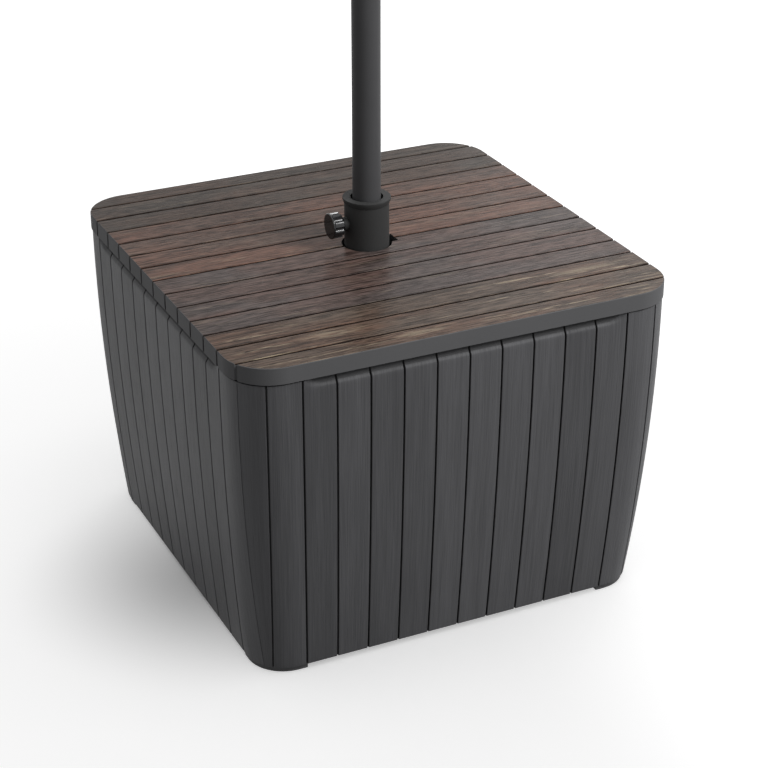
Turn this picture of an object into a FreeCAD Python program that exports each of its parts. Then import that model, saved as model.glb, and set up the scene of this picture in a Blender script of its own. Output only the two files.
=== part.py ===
import FreeCAD, Part
import math
import os
import Sketcher

# Square garden side table with a parasol mast standing through its top.
# Millimetres, +Z up, origin on the floor under the middle; the front wall faces -Y,
# the planks of the top run along X and the clamp knob points to -X.

doc = FreeCAD.newDocument("parasol_table")
sheet = doc.addObject("Spreadsheet::Sheet", "dims")

SIZES = [
    ("top_size", 608, "side of the square top"),
    ("table_height", 450, "floor to the face of the top"),
    ("top_corner", 61, "corner radius of the top, seen from above"),
    ("rim_height", 22, "depth of the rim round the top"),
    ("rim_thick", 5, "wall of that rim"),
    ("top_plate", 7, "thickness of the top's face"),
    ("top_edge", 2, "rounding of the upper edge"),
    ("top_overhang", 2, "how far the rim stands out past the walls"),
    ("plank_pitch", 45, "plank to plank, on the top and at the head of the walls"),
    ("plank_taper", 1.6, "pitch that the wall planks lose on the way down"),
    ("groove_wide", 4, "groove between two planks"),
    ("groove_deep", 2.8, "depth of a groove"),
    ("hole_gap", 3.95, "hole in the top past the collar"),
    ("notch_wide", 25, "notch in that hole that lets the collar's boss through"),
    ("notch_gap", 5, "notch past the end of that boss"),
    ("rib_thick", 3, "stiffening ribs"),
    ("rib_pitch", 90, "rib to rib"),
    ("liner_thick", 4, "liner plate under the top"),
    ("liner_rib", 8, "ribs under the liner"),
    ("skirt_thick", 3, "locating skirt under the liner"),
    ("skirt_deep", 14, "locating skirt under the liner"),
    ("skirt_gap", 0.6, "play of the skirt inside the ledge"),
    ("fit_gap", 0.4, "play between moulded pieces that nest"),
    ("shadow_gap", 2, "open line between the rim and the walls"),
    ("wall_thick", 5, "wall panels"),
    ("wall_bow", 22, "how far the bowed walls draw in at the bottom"),
    ("wall_corner", 57, "corner radius at the head of the walls"),
    ("corner_draft", 4, "radius that the corners lose on the way down"),
    ("tongue_wide", 12, "lap of a front panel behind its neighbour"),
    ("ledge_wide", 20, "ledge inside the head of the walls"),
    ("ledge_high", 18, "depth of that ledge"),
    ("scoop_half", 195, "finger scoop, half its full-depth length"),
    ("scoop_fade", 27, "run-out at each end of the scoop"),
    ("scoop_deep", 5, "scoop's depth into the wall"),
    ("scoop_high", 11.5, "scoop's height on the wall"),
    ("foot_height", 7, "corner feet, floor to the walls"),
    ("foot_inset", 3, "feet set back from the walls"),
    ("foot_reach", 62, "foot's length along each side"),
    ("tray_drop", 5, "tray floor's underside above the walls' lower edge"),
    ("tray_thick", 4, "tray floor and upstand"),
    ("tray_upstand", 28, "height of the tray's upstand"),
    ("snap_deep", 0.9, "snap bead that holds the walls on the tray"),
    ("snap_high", 3, "snap bead"),
    ("snap_drop", 6, "snap bead below the upstand's edge"),
    ("seat_high", 4, "raised seat for the socket flange"),
    ("seat_rim", 4, "seat past the flange's edge"),
    ("screw_radius", 2, "small screws"),
    ("screw_head", 4, "head radius of the small screws"),
    ("screw_flat", 2.4, "head height of the small screws"),
    ("screw_bite", 9, "screw's length in its boss"),
    ("screw_boss", 5, "radius of a screw boss"),
    ("thread_play", 0.05, "play of a screw in its hole"),
    ("flange_radius", 78, "socket flange"),
    ("flange_thick", 5, "socket flange"),
    ("socket_high", 160, "socket tube above its flange"),
    ("socket_wall", 2.7, "socket tube"),
    ("gusset_wide", 40, "gusset plates"),
    ("gusset_high", 90, "gusset plates"),
    ("gusset_thick", 4, "gusset plates"),
    ("drain_radius", 8, "drain hole under the stem"),
    ("bolt_circle", 60, "radius of the bolt circle"),
    ("bolt_radius", 4, "flange bolts"),
    ("bolt_flat", 13, "across flats of the bolt heads and nuts"),
    ("bolt_head", 5.3, "height of a bolt head"),
    ("nut_high", 6.5, "height of a nut"),
    ("bolt_spare", 3, "bolt's end past its nut"),
    ("washer_radius", 8, "flange washers"),
    ("washer_thick", 1.6, "flange washers"),
    ("bolt_play", 0.3, "play of a bolt in its hole"),
    ("tank_high", 150, "ballast tank"),
    ("tank_gap", 7, "tank to the tray's upstand, and tank to tank"),
    ("tank_corner", 46, "outer corners of the tank"),
    ("tank_nose", 16, "corners beside the socket's well"),
    ("tank_round", 14, "rounding of the tank's edges"),
    ("well_gap", 8, "tank to the socket flange"),
    ("channel_wide", 26, "moulded channel across the tank's top"),
    ("channel_deep", 6, "moulded channel across the tank's top"),
    ("neck_x", 176, "filler neck, from the middle"),
    ("neck_radius", 22, "filler neck"),
    ("neck_high", 15, "filler neck"),
    ("cap_wall", 3.5, "filler cap"),
    ("cap_lift", 1, "cap's edge above the tank"),
    ("seal_wide", 5, "cap seal"),
    ("cap_play", 0.4, "cap over its neck"),
    ("cap_grip", 1.4, "grip ribs of the cap"),
    ("seal_thick", 2, "cap seal"),
    ("stem_radius", 27, "stem tube, outside"),
    ("stem_wall", 2, "stem tube"),
    ("slide_gap", 0.3, "play between tubes that slide"),
    ("plug_high", 20, "plug in the foot of the stem"),
    ("collar_wall", 3, "collar sleeve round the stem tube"),
    ("collar_rise", 66, "collar's top above the table"),
    ("collar_drop", 25, "collar's lower end below the table's face"),
    ("collar_lip", 2.2, "lip round the collar's top"),
    ("lip_high", 3, "that lip"),
    ("lip_taper", 5, "taper under the lip"),
    ("mouth_gap", 3, "mouth of the collar, round the mast"),
    ("mouth_high", 8, "height of the mouth"),
    ("collar_round", 1.5, "rounded edge of the collar's top"),
    ("clamp_rise", 32, "clamp screw above the table"),
    ("boss_radius", 9, "boss for the clamp screw"),
    ("boss_long", 5.95, "boss's outer end past the collar"),
    ("insert_radius", 6.5, "threaded insert in the boss"),
    ("insert_sunk", 0.5, "insert below the boss's face"),
    ("stud_radius", 4, "clamp screw"),
    ("stud_hold", 10, "clamp screw's length in the knob"),
    ("knob_radius", 17, "lobed knob"),
    ("knob_thick", 13, "lobed knob"),
    ("knob_neck", 3, "knob's neck"),
    ("neck_round", 8, "radius of the knob's neck"),
    ("scallop_radius", 3.6, "hollow between two lobes"),
    ("scallop_deep", 2.8, "hollow between two lobes"),
    ("knob_round", 0.8, "rounding of the knob's edges"),
    ("face_radius", 17.5, "disc on the knob's outer end"),
    ("face_thick", 2.5, "disc on the knob's outer end"),
    ("pad_thick", 3, "pad on the clamp screw"),
    ("pad_gap", 0.4, "pad to the mast"),
    ("mast_radius", 19, "mast, outside"),
    ("mast_wall", 1.6, "mast"),
    ("mast_length", 800, "lower length of the mast"),
    ("foot_flange", 4, "flange of the mast's foot plug"),
    ("foot_spigot", 20, "spigot of the mast's foot plug"),
    ("bush_high", 40, "guide bushes for the mast"),
    ("bush_lower", 60, "lower bush above the stem's foot"),
    ("bush_drop", 50, "upper bush's top below the table's face"),
    ("joint_wall", 1.35, "wall of the socket in the mast's top"),
    ("joint_deep", 90, "socket in the mast's top"),
    ("joint_lip", 2, "lip of that socket"),
]
for row, (alias, size, meaning) in enumerate(SIZES, start=1):
    sheet.set(f"A{row}", alias)
    sheet.set(f"B{row}", str(size))
    sheet.set(f"C{row}", meaning)
    sheet.setAlias(f"B{row}", alias)
doc.recompute()

# Heights and half sizes that several pieces share, written as expressions on the sheet.
WALL_HALF = "(dims.top_size / 2 - dims.top_overhang)"
RIM_LOW = "(dims.table_height - dims.rim_height)"
WALL_TOP = "(dims.table_height - dims.rim_height - dims.shadow_gap)"
LINER_TOP = f"({WALL_TOP} + dims.liner_thick)"
PLATE_LOW = "(dims.table_height - dims.top_plate)"
TRAY_LOW = "(dims.foot_height + dims.tray_drop)"
TRAY_FLOOR = f"({TRAY_LOW} + dims.tray_thick)"
TRAY_TOP = f"({TRAY_LOW} + dims.tray_upstand)"
TRAY_INSET = "(dims.wall_thick + dims.fit_gap)"
SNAP_TOP = f"({TRAY_TOP} - dims.snap_drop)"
SNAP_LOW = f"({SNAP_TOP} - dims.snap_high)"
TANK_TOP = f"({TRAY_FLOOR} + dims.tank_high)"
FLANGE_LOW = f"({TRAY_FLOOR} + dims.seat_high)"
FLANGE_TOP = f"({FLANGE_LOW} + dims.flange_thick)"
STEM_LOW = f"({FLANGE_TOP} + dims.slide_gap)"
STEM_BORE = "(dims.stem_radius - dims.stem_wall)"
COLLAR_TOP = "(dims.table_height + dims.collar_rise)"
COLLAR_RADIUS = "(dims.stem_radius + dims.thread_play + dims.collar_wall)"
BOSS_OUT = f"({COLLAR_RADIUS} + dims.boss_long)"
HOLE_RADIUS = f"({COLLAR_RADIUS} + dims.hole_gap)"
NOTCH_OUT = f"({BOSS_OUT} + dims.notch_gap)"
STEM_TOP = f"({COLLAR_TOP} - dims.mouth_high)"
CLAMP_HIGH = "(dims.table_height + dims.clamp_rise)"
MAST_LOW = f"({STEM_LOW} + dims.plug_high + dims.slide_gap)"
TUBE_LOW = f"({MAST_LOW} + dims.foot_flange)"
TUBE_TOP = f"({TUBE_LOW} + dims.mast_length)"
MAST_BORE = "(dims.mast_radius - dims.mast_wall)"
PAST = 1.0
FULL_TURN = 360
BOLT_COUNT = 4
GRIP_COUNT = 16
LOBE_COUNT = 8
BOW_SECTIONS = 4

parts = []


def vector(x, y, z=0.0):
    return FreeCAD.Vector(x, y, z)


def keep(obj, name):
    """Mark an object as a finished piece, under the name of its file."""
    obj.Label = name
    parts.append(obj)
    return obj


def new_body(name):
    return doc.addObject("PartDesign::Body", name)


def origin(body, role):
    return [item for item in body.Origin.OriginFeatures if item.Role == role][0]


def new_sketch(body, name, role="XY_Plane", offset="0"):
    sketch = body.newObject("Sketcher::SketchObject", name)
    sketch.AttachmentSupport = [(origin(body, role), "")]
    sketch.MapMode = "FlatFace"
    sketch.setExpression("AttachmentOffset.Base.z", offset)
    return sketch


def drive(sketch, constraint, name, expression):
    """Add a dimension to a sketch and bind it to the sheet."""
    sketch.renameConstraint(sketch.addConstraint(constraint), name)
    sketch.setExpression(f"Constraints.{name}", expression)


def add_circle(sketch, radius, x="0", y="0"):
    """Circle whose centre stands x, y from the sketch's origin."""
    number = sketch.addGeometry(Part.Circle(vector(10, 10), vector(0, 0, 1), 5))
    if x == "0":
        sketch.addConstraint(Sketcher.Constraint("PointOnObject", number, 3, -2))
    else:
        drive(sketch, Sketcher.Constraint("DistanceX", -1, 1, number, 3, 10), f"x_{number}", x)
    if y == "0":
        sketch.addConstraint(Sketcher.Constraint("PointOnObject", number, 3, -1))
    else:
        drive(sketch, Sketcher.Constraint("DistanceY", -1, 1, number, 3, 10), f"y_{number}", y)
    drive(sketch, Sketcher.Constraint("Radius", number, 5), f"radius_{number}", radius)


def add_polygon(sketch, corners):
    """Closed outline of straight sides through corners given as pairs of expressions."""
    count = len(corners)
    start = [vector(40 + 30 * math.cos(turn), 40 + 30 * math.sin(turn))
             for turn in (2 * math.pi * i / count for i in range(count))]
    for i in range(count):
        sketch.addGeometry(Part.LineSegment(start[i], start[(i + 1) % count]))
    for i in range(count):
        sketch.addConstraint(Sketcher.Constraint("Coincident", i, 2, (i + 1) % count, 1))
    for i, (x, y) in enumerate(corners):
        if x == "0":
            sketch.addConstraint(Sketcher.Constraint("PointOnObject", i, 1, -2))
        else:
            drive(sketch, Sketcher.Constraint("DistanceX", -1, 1, i, 1, start[i].x), f"x_{i}", x)
        drive(sketch, Sketcher.Constraint("DistanceY", -1, 1, i, 1, start[i].y), f"y_{i}", y)


def add_rounded_square(sketch, half, radius):
    """Square about the sketch's origin with four equal round corners, drawn near its final
    size and then pulled to it by the dimensions."""
    far, near = 300, 250
    ends = [(-near, -far), (near, -far), (far, -near), (far, near),
            (near, far), (-near, far), (-far, near), (-far, -near)]
    for i in range(0, 8, 2):
        sketch.addGeometry(Part.LineSegment(vector(*ends[i]), vector(*ends[i + 1])))
    for i, (x, y) in enumerate([(near, -near), (near, near), (-near, near), (-near, -near)]):
        circle = Part.Circle(vector(x, y), vector(0, 0, 1), far - near)
        turn = math.radians(90 * (i - 1))
        sketch.addGeometry(Part.ArcOfCircle(circle, turn, turn + math.pi / 2))
    for i in range(4):
        sketch.addConstraint(Sketcher.Constraint("Tangent", i, 2, 4 + i, 1))
        sketch.addConstraint(Sketcher.Constraint("Tangent", 4 + i, 2, (i + 1) % 4, 1))
        sketch.addConstraint(Sketcher.Constraint("Horizontal" if i % 2 == 0 else "Vertical", i))
    for i in range(5, 8):
        sketch.addConstraint(Sketcher.Constraint("Equal", 4, i))
    sketch.addConstraint(Sketcher.Constraint("Symmetric", 0, 1, 2, 1, -1, 1))
    drive(sketch, Sketcher.Constraint("DistanceX", 3, 1, 1, 1, 2 * far), "width", f"2 * {half}")
    drive(sketch, Sketcher.Constraint("DistanceY", 0, 1, 2, 1, 2 * far), "depth", f"2 * {half}")
    drive(sketch, Sketcher.Constraint("Radius", 4, far - near), "corner", radius)


def add_pad(body, name, sketch, length, kind="PartDesign::Pad"):
    pad = body.newObject(kind, name)
    pad.Profile = sketch
    pad.setExpression("Length", length)
    return pad


def add_revolution(body, name, sketch, axis="V_Axis"):
    turned_profile = body.newObject("PartDesign::Revolution", name)
    turned_profile.Profile = sketch
    turned_profile.ReferenceAxis = (sketch, [axis])
    turned_profile.Angle = FULL_TURN
    return turned_profile


def add_round(body, name, radius, chosen):
    """Fillet the edges of the body's tip that the test picks out."""
    doc.recompute()
    tip = body.Tip
    names = [f"Edge{i}" for i, edge in enumerate(tip.Shape.Edges, start=1) if chosen(edge)]
    fillet = body.newObject("PartDesign::Fillet", name)
    fillet.Base = (tip, names)
    fillet.setExpression("Radius", radius)
    return fillet


def add_polar(body, name, features, count, role="Z_Axis"):
    pattern = body.newObject("PartDesign::PolarPattern", name)
    pattern.Originals = features
    pattern.Axis = (origin(body, role), [""])
    pattern.Angle = FULL_TURN
    pattern.Occurrences = count
    body.Tip = pattern
    return pattern


def block(name, low, high):
    """Box between two corners, each given as three expressions."""
    box = doc.addObject("Part::Box", name)
    for axis, side, start, end in zip("xyz", ("Length", "Width", "Height"), low, high):
        box.setExpression(side, f"({end}) - ({start})")
        box.setExpression(f"Placement.Base.{axis}", start)
    return box


def rod(name, radius, low, high, x="0", y="0"):
    """Upright cylinder from one height to another."""
    cylinder = doc.addObject("Part::Cylinder", name)
    cylinder.setExpression("Radius", radius)
    cylinder.setExpression("Height", f"({high}) - ({low})")
    for axis, place in zip("xyz", (x, y, low)):
        cylinder.setExpression(f"Placement.Base.{axis}", place)
    return cylinder


def hexagon(name, low, high, x, y):
    """Upright hexagon prism for bolt heads and nuts."""
    prism = doc.addObject("Part::Prism", name)
    prism.Polygon = 6
    prism.setExpression("Circumradius", "dims.bolt_flat / 2 / cos(30)")
    prism.setExpression("Height", f"({high}) - ({low})")
    for axis, place in zip("xyz", (x, y, low)):
        prism.setExpression(f"Placement.Base.{axis}", place)
    return prism


def cut(name, base, tool):
    result = doc.addObject("Part::Cut", name)
    result.Base = base
    result.Tool = tool
    return result


def common(name, base, tool):
    result = doc.addObject("Part::Common", name)
    result.Base = base
    result.Tool = tool
    return result


def fuse(name, shapes):
    result = doc.addObject("Part::MultiFuse", name)
    result.Shapes = shapes
    return result


def group(name, shapes):
    result = doc.addObject("Part::Compound", name)
    result.Links = shapes
    return result


def turned(name, source, degrees):
    """The same piece again, turned about the upright middle axis."""
    copy = group(name, [source])
    copy.Placement = FreeCAD.Placement(vector(0, 0), FreeCAD.Rotation(vector(0, 0, 1), degrees))
    return copy


def square_block(name, half, radius, low, high):
    """Upright block with a rounded-square outline."""
    body = new_body(name)
    sketch = new_sketch(body, f"{name}_outline", offset=low)
    add_rounded_square(sketch, half, radius)
    add_pad(body, f"{name}_pad", sketch, f"({high}) - ({low})")
    return body


def ring_body(name, outer, inner, low, high):
    """Upright tube."""
    body = new_body(name)
    sketch = new_sketch(body, f"{name}_section", offset=low)
    add_circle(sketch, outer)
    add_circle(sketch, inner)
    add_pad(body, f"{name}_pad", sketch, f"({high}) - ({low})")
    return body


def bowed_block(name, inset, low, high):
    """Block under the bowed wall face, set in by a distance: upright at the head of the
    walls and drawing in with the square of the depth, with corners that tighten downwards."""
    body = new_body(name)
    sections = []
    for i in range(BOW_SECTIONS):
        height = f"(({low}) + (({high}) - ({low})) * {i} / {BOW_SECTIONS - 1})"
        depth = f"(({WALL_TOP} - {height}) / ({WALL_TOP} - dims.foot_height))"
        sketch = new_sketch(body, f"{name}_section_{i}", offset=height)
        add_rounded_square(sketch, f"({WALL_HALF} - dims.wall_bow * {depth}^2 - ({inset}))",
                           f"dims.wall_corner - dims.corner_draft * {depth} - ({inset})")
        sections.append(sketch)
    loft = body.newObject("PartDesign::AdditiveLoft", f"{name}_loft")
    loft.Profile = sections[0]
    loft.Sections = sections[1:]
    return body


def in_plane(height):
    """Test for edges that lie at one height."""
    return lambda edge: all(abs(vertex.Z - height) < 0.01 for vertex in edge.Vertexes)


def sheet_size(alias):
    return float(sheet.get(alias))


# Wall panels: one bowed shell with a ledge inside its head, cut by upright grooves and
# finger scoops, then parted at the outermost grooves into front, back, left and right.
wall_outer = bowed_block("wall_outer", "0", "dims.foot_height", WALL_TOP)
groove_floor = bowed_block("groove_floor", "dims.groove_deep", f"dims.foot_height - {PAST}",
                           f"{WALL_TOP} + {PAST}")
wall_cavity = bowed_block("wall_cavity", "dims.wall_thick", f"dims.foot_height - {PAST}",
                          f"{WALL_TOP} - dims.ledge_high")
ledge_mouth = square_block("ledge_mouth", f"({WALL_HALF} - dims.ledge_wide)",
                           "dims.wall_corner - dims.ledge_wide",
                           f"{WALL_TOP} - dims.ledge_high - {PAST}", f"{WALL_TOP} + {PAST}")
snap_groove = bowed_block("snap_groove", "dims.wall_thick - dims.snap_deep",
                          f"{SNAP_LOW} - dims.fit_gap", f"{SNAP_TOP} + dims.fit_gap")
wall_hollow = fuse("wall_hollow", [wall_cavity, ledge_mouth, snap_groove])
wall_shell = cut("wall_shell", wall_outer, wall_hollow)

groove_reach = "(dims.wall_bow + dims.wall_thick + dims.wall_corner / 3)"
blade = block("groove_blade", ("-dims.groove_wide / 2", f"-{PAST} * 2", f"dims.foot_height - {PAST}"),
              ("dims.groove_wide / 2", groove_reach, f"{WALL_TOP} + {PAST}"))
side_grooves = int((sheet_size("top_size") / 2 - sheet_size("plank_pitch") / 2) / sheet_size("plank_pitch"))
blades = []
for number in range(-side_grooves, side_grooves + 1):
    cutter = group(f"groove_{number + side_grooves + 1:02d}", [blade])
    cutter.setExpression("Placement.Base.x", f"{number} * dims.plank_pitch")
    cutter.setExpression("Placement.Base.y", f"-{WALL_HALF}")
    cutter.setExpression("Placement.Rotation.Angle", f"atan({number} * dims.plank_taper / dims.wall_bow)")
    blades.append(cutter)
front_grooves = group("front_grooves", blades)
groove_rows = group("groove_rows", [front_grooves, turned("left_grooves", front_grooves, -90),
                                    turned("back_grooves", front_grooves, 180)])

# The scoops sink into the boards, and the grooves between the boards run on through them.
SCOOP_OUT = "((dims.scoop_high^2 - dims.scoop_deep^2) / (2 * dims.scoop_deep))"
SCOOP_RADIUS = f"({SCOOP_OUT} + dims.scoop_deep)"
FADE_RADIUS = "((dims.scoop_fade^2 + dims.scoop_deep^2) / (2 * dims.scoop_deep))"


def scoop_bar(name, extra):
    """Round bar with tapering ends, laid along the head of the front wall just outside it."""
    bar = new_body(name)
    sketch = new_sketch(bar, f"{name}_profile")
    for start, end in (((-220, 0), (220, 0)), ((190, 12), (-190, 12))):
        sketch.addGeometry(Part.LineSegment(vector(*start), vector(*end)))
    for centre, ends in ((190, (0.0, math.pi / 2)), (-190, (math.pi / 2, math.pi))):
        arc = Part.Circle(vector(centre, -18), vector(0, 0, 1), 30)
        sketch.addGeometry(Part.ArcOfCircle(arc, *ends))
    for first, first_end, second, second_end in ((0, 2, 2, 1), (3, 2, 0, 1)):
        sketch.addConstraint(Sketcher.Constraint("Coincident", first, first_end, second, second_end))
    sketch.addConstraint(Sketcher.Constraint("Tangent", 2, 2, 1, 1))
    sketch.addConstraint(Sketcher.Constraint("Tangent", 1, 2, 3, 1))
    sketch.addConstraint(Sketcher.Constraint("PointOnObject", 0, 1, -1))
    sketch.addConstraint(Sketcher.Constraint("PointOnObject", 0, 2, -1))
    sketch.addConstraint(Sketcher.Constraint("Symmetric", 1, 1, 1, 2, -2))
    sketch.addConstraint(Sketcher.Constraint("Equal", 2, 3))
    drive(sketch, Sketcher.Constraint("DistanceX", 1, 2, 1, 1, 380), "straight", "2 * dims.scoop_half")
    drive(sketch, Sketcher.Constraint("DistanceY", -1, 1, 1, 1, 12), "radius", f"{SCOOP_RADIUS} + {extra}")
    drive(sketch, Sketcher.Constraint("Radius", 2, 30), "fade", f"{FADE_RADIUS} + {extra}")
    add_revolution(bar, f"{name}_round", sketch, "H_Axis")
    bar.setExpression("Placement.Base.y", f"-{WALL_HALF} - {SCOOP_OUT}")
    bar.setExpression("Placement.Base.z", WALL_TOP)
    return group(f"{name}_row", [bar, turned(f"left_{name}", bar, -90), turned(f"back_{name}", bar, 180)])


scooped_shell = cut("scooped_shell", wall_shell, scoop_bar("scoop", "0"))
scooped_floor = cut("scooped_floor", groove_floor, scoop_bar("deep_scoop", "dims.groove_deep"))
groove_cutters = cut("groove_cutters", groove_rows, scooped_floor)
board_shell = cut("board_shell", scooped_shell, groove_cutters)


def front_zone(name, extra):
    """Upright wedge that holds the front panel, between the planes of its outermost grooves."""
    zone = doc.addObject("Part::Wedge", name)
    slope = f"({side_grooves} * dims.plank_taper / dims.wall_bow)"
    reach = "(dims.ledge_wide + dims.wall_bow + dims.wall_thick)"
    outer = f"({side_grooves} * dims.plank_pitch + {slope} * {PAST} * 2 + {extra})"
    inner = f"({side_grooves} * dims.plank_pitch - {slope} * {reach} + {extra})"
    for side, value in (("Ymin", f"-{WALL_HALF} - {PAST} * 2"), ("Ymax", f"-{WALL_HALF} + {reach}"),
                        ("Xmin", f"-{outer}"), ("Xmax", outer), ("X2min", f"-{inner}"), ("X2max", inner),
                        ("Zmin", "0"), ("Z2min", "0"), ("Zmax", f"{WALL_TOP} + {PAST}"),
                        ("Z2max", f"{WALL_TOP} + {PAST}")):
        zone.setExpression(side, value)
    return zone


seam_zone = front_zone("seam_zone", "0")
tongue_zone = front_zone("tongue_zone", "dims.tongue_wide")
tongue_relief = cut("tongue_relief", cut("tongue_strips", tongue_zone, seam_zone), groove_floor)
wall_front = keep(cut("wall_front", common("front_stock", board_shell, tongue_zone), tongue_relief),
                  "wall_front")
wall_back = keep(turned("wall_back", wall_front, 180), "wall_back")
left_half = block("left_half", (f"-{WALL_HALF} - {PAST}", f"-{WALL_HALF} - {PAST}", "0"),
                  ("0", f"{WALL_HALF} + {PAST}", f"{WALL_TOP} + {PAST}"))
left_stock = common("left_stock", board_shell, left_half)
wall_left = keep(cut("wall_left", cut("left_less_front", left_stock, wall_front), wall_back), "wall_left")
wall_right = keep(turned("wall_right", wall_left, 180), "wall_right")

# Floor tray: shallow tray inside the walls with a snap bead round its upstand, a grid of ribs
# underneath, a raised seat for the socket and four corner feet that also carry the walls.
tray_outer = bowed_block("tray_outer", TRAY_INSET, TRAY_LOW, TRAY_TOP)
tray_inner = bowed_block("tray_inner", f"{TRAY_INSET} + dims.tray_thick", TRAY_FLOOR, f"{TRAY_TOP} + {PAST}")
snap_bead = bowed_block("snap_bead", f"{TRAY_INSET} - dims.snap_deep", SNAP_LOW, SNAP_TOP)
tray_shell = cut("tray_shell", fuse("tray_stock", [tray_outer, snap_bead]), tray_inner)
FOOT_HALF = f"({WALL_HALF} - dims.wall_bow - dims.foot_inset)"
NECK_HALF = f"({WALL_HALF} - dims.wall_bow - {TRAY_INSET})"
FOOT_FREE = f"({FOOT_HALF} - dims.foot_reach)"
foot_pad = square_block("foot_pad", FOOT_HALF, "dims.wall_corner - dims.corner_draft - dims.foot_inset",
                        "0", "dims.foot_height")
foot_neck = square_block("foot_neck", NECK_HALF, f"dims.wall_corner - dims.corner_draft - {TRAY_INSET}",
                         "dims.foot_height", TRAY_LOW)
gap_x = block("gap_x", (f"-{FOOT_HALF} - {PAST}", f"-{FOOT_FREE}", f"-{PAST}"),
              (f"{FOOT_HALF} + {PAST}", FOOT_FREE, f"{TRAY_LOW} + {PAST}"))
keep(cut("corner_feet", cut("feet_stock", fuse("foot_stock", [foot_pad, foot_neck]), gap_x),
         turned("gap_y", gap_x, 90)), "corner_feet")
tray_ribs = []
rib_count = int((sheet_size("top_size") / 2 - sheet_size("foot_reach")) / sheet_size("rib_pitch"))
for number in [n for n in range(-rib_count, rib_count + 1) if n != 0]:
    rib = block(f"tray_rib_{number + rib_count}",
                (f"-{NECK_HALF}", f"{number} * dims.rib_pitch - dims.rib_thick / 2", "dims.foot_height"),
                (NECK_HALF, f"{number} * dims.rib_pitch + dims.rib_thick / 2", TRAY_LOW))
    tray_ribs += [rib, turned(f"tray_cross_rib_{number + rib_count}", rib, 90)]
seat = rod("socket_seat", "dims.flange_radius + dims.seat_rim", TRAY_FLOOR, FLANGE_LOW)
tray_whole = fuse("tray_whole", [tray_shell, seat] + tray_ribs)
bolt_places = [(f"dims.bolt_circle * cos({turn})", f"dims.bolt_circle * sin({turn})")
               for turn in range(FULL_TURN // BOLT_COUNT // 2, FULL_TURN, FULL_TURN // BOLT_COUNT)]
tray_holes = [rod(f"tray_hole_{i}", "dims.bolt_radius + dims.bolt_play", f"{TRAY_LOW} - {PAST}",
                  f"{FLANGE_LOW} + {PAST}", x, y) for i, (x, y) in enumerate(bolt_places)]
tray_holes.append(rod("tray_drain", "dims.drain_radius", f"{TRAY_LOW} - {PAST}", f"{FLANGE_LOW} + {PAST}"))
keep(cut("floor_tray", tray_whole, group("tray_holes", tray_holes)), "floor_tray")

# Socket: steel flange with a welded tube that the stem drops into, four gusset plates and
# four bolt holes between them.
SOCKET_BORE = "(dims.stem_radius + dims.slide_gap)"
SOCKET_RADIUS = f"({SOCKET_BORE} + dims.socket_wall)"
socket = keep(new_body("base_socket"), "base_socket")
flange_sketch = new_sketch(socket, "flange_outline", offset=FLANGE_LOW)
add_circle(flange_sketch, "dims.flange_radius")
add_circle(flange_sketch, "dims.drain_radius")
add_pad(socket, "flange", flange_sketch, "dims.flange_thick")
tube_sketch = new_sketch(socket, "socket_section", offset=FLANGE_TOP)
add_circle(tube_sketch, SOCKET_RADIUS)
add_circle(tube_sketch, SOCKET_BORE)
add_pad(socket, "socket_tube", tube_sketch, "dims.socket_high")
gusset_sketch = new_sketch(socket, "gusset_outline", "XZ_Plane", "-dims.gusset_thick / 2")
GUSSET_ROOT = f"({SOCKET_RADIUS} - dims.socket_wall / 2)"
add_polygon(gusset_sketch, [(GUSSET_ROOT, FLANGE_TOP), (f"{SOCKET_RADIUS} + dims.gusset_wide", FLANGE_TOP),
                            (GUSSET_ROOT, f"{FLANGE_TOP} + dims.gusset_high")])
gusset = add_pad(socket, "gusset", gusset_sketch, "dims.gusset_thick")
add_polar(socket, "gussets", [gusset], BOLT_COUNT)
bolt_sketch = new_sketch(socket, "bolt_hole_outline", offset=FLANGE_TOP)
add_circle(bolt_sketch, "dims.bolt_radius + dims.bolt_play", *bolt_places[0])
bolt_hole = add_pad(socket, "bolt_hole", bolt_sketch, "dims.flange_thick", "PartDesign::Pocket")
add_polar(socket, "bolt_holes", [bolt_hole], BOLT_COUNT)

# Flange fasteners: hexagon bolts from below, with a washer and a nut on top of the flange.
NUT_LOW = f"({FLANGE_TOP} + dims.washer_thick)"
NUT_TOP = f"({NUT_LOW} + dims.nut_high)"
bolts, washers, nuts = [], [], []
for i, place in enumerate(bolt_places):
    head = hexagon(f"bolt_head_{i}", f"{TRAY_LOW} - dims.bolt_head", TRAY_LOW, *place)
    shank = rod(f"bolt_shank_{i}", "dims.bolt_radius", TRAY_LOW, f"{NUT_TOP} + dims.bolt_spare", *place)
    bolts.append(fuse(f"bolt_{i}", [head, shank]))
    thread = rod(f"nut_thread_{i}", "dims.bolt_radius + dims.thread_play", f"{FLANGE_TOP} - {PAST}",
                 f"{NUT_TOP} + {PAST}", *place)
    disc = rod(f"washer_disc_{i}", "dims.washer_radius", FLANGE_TOP, NUT_LOW, *place)
    washers.append(cut(f"washer_{i}", disc, thread))
    nuts.append(cut(f"nut_{i}", hexagon(f"nut_stock_{i}", NUT_LOW, NUT_TOP, *place), thread))
keep(group("socket_bolts", bolts), "socket_bolts")
keep(group("socket_washers", washers), "socket_washers")
keep(group("socket_nuts", nuts), "socket_nuts")

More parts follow.
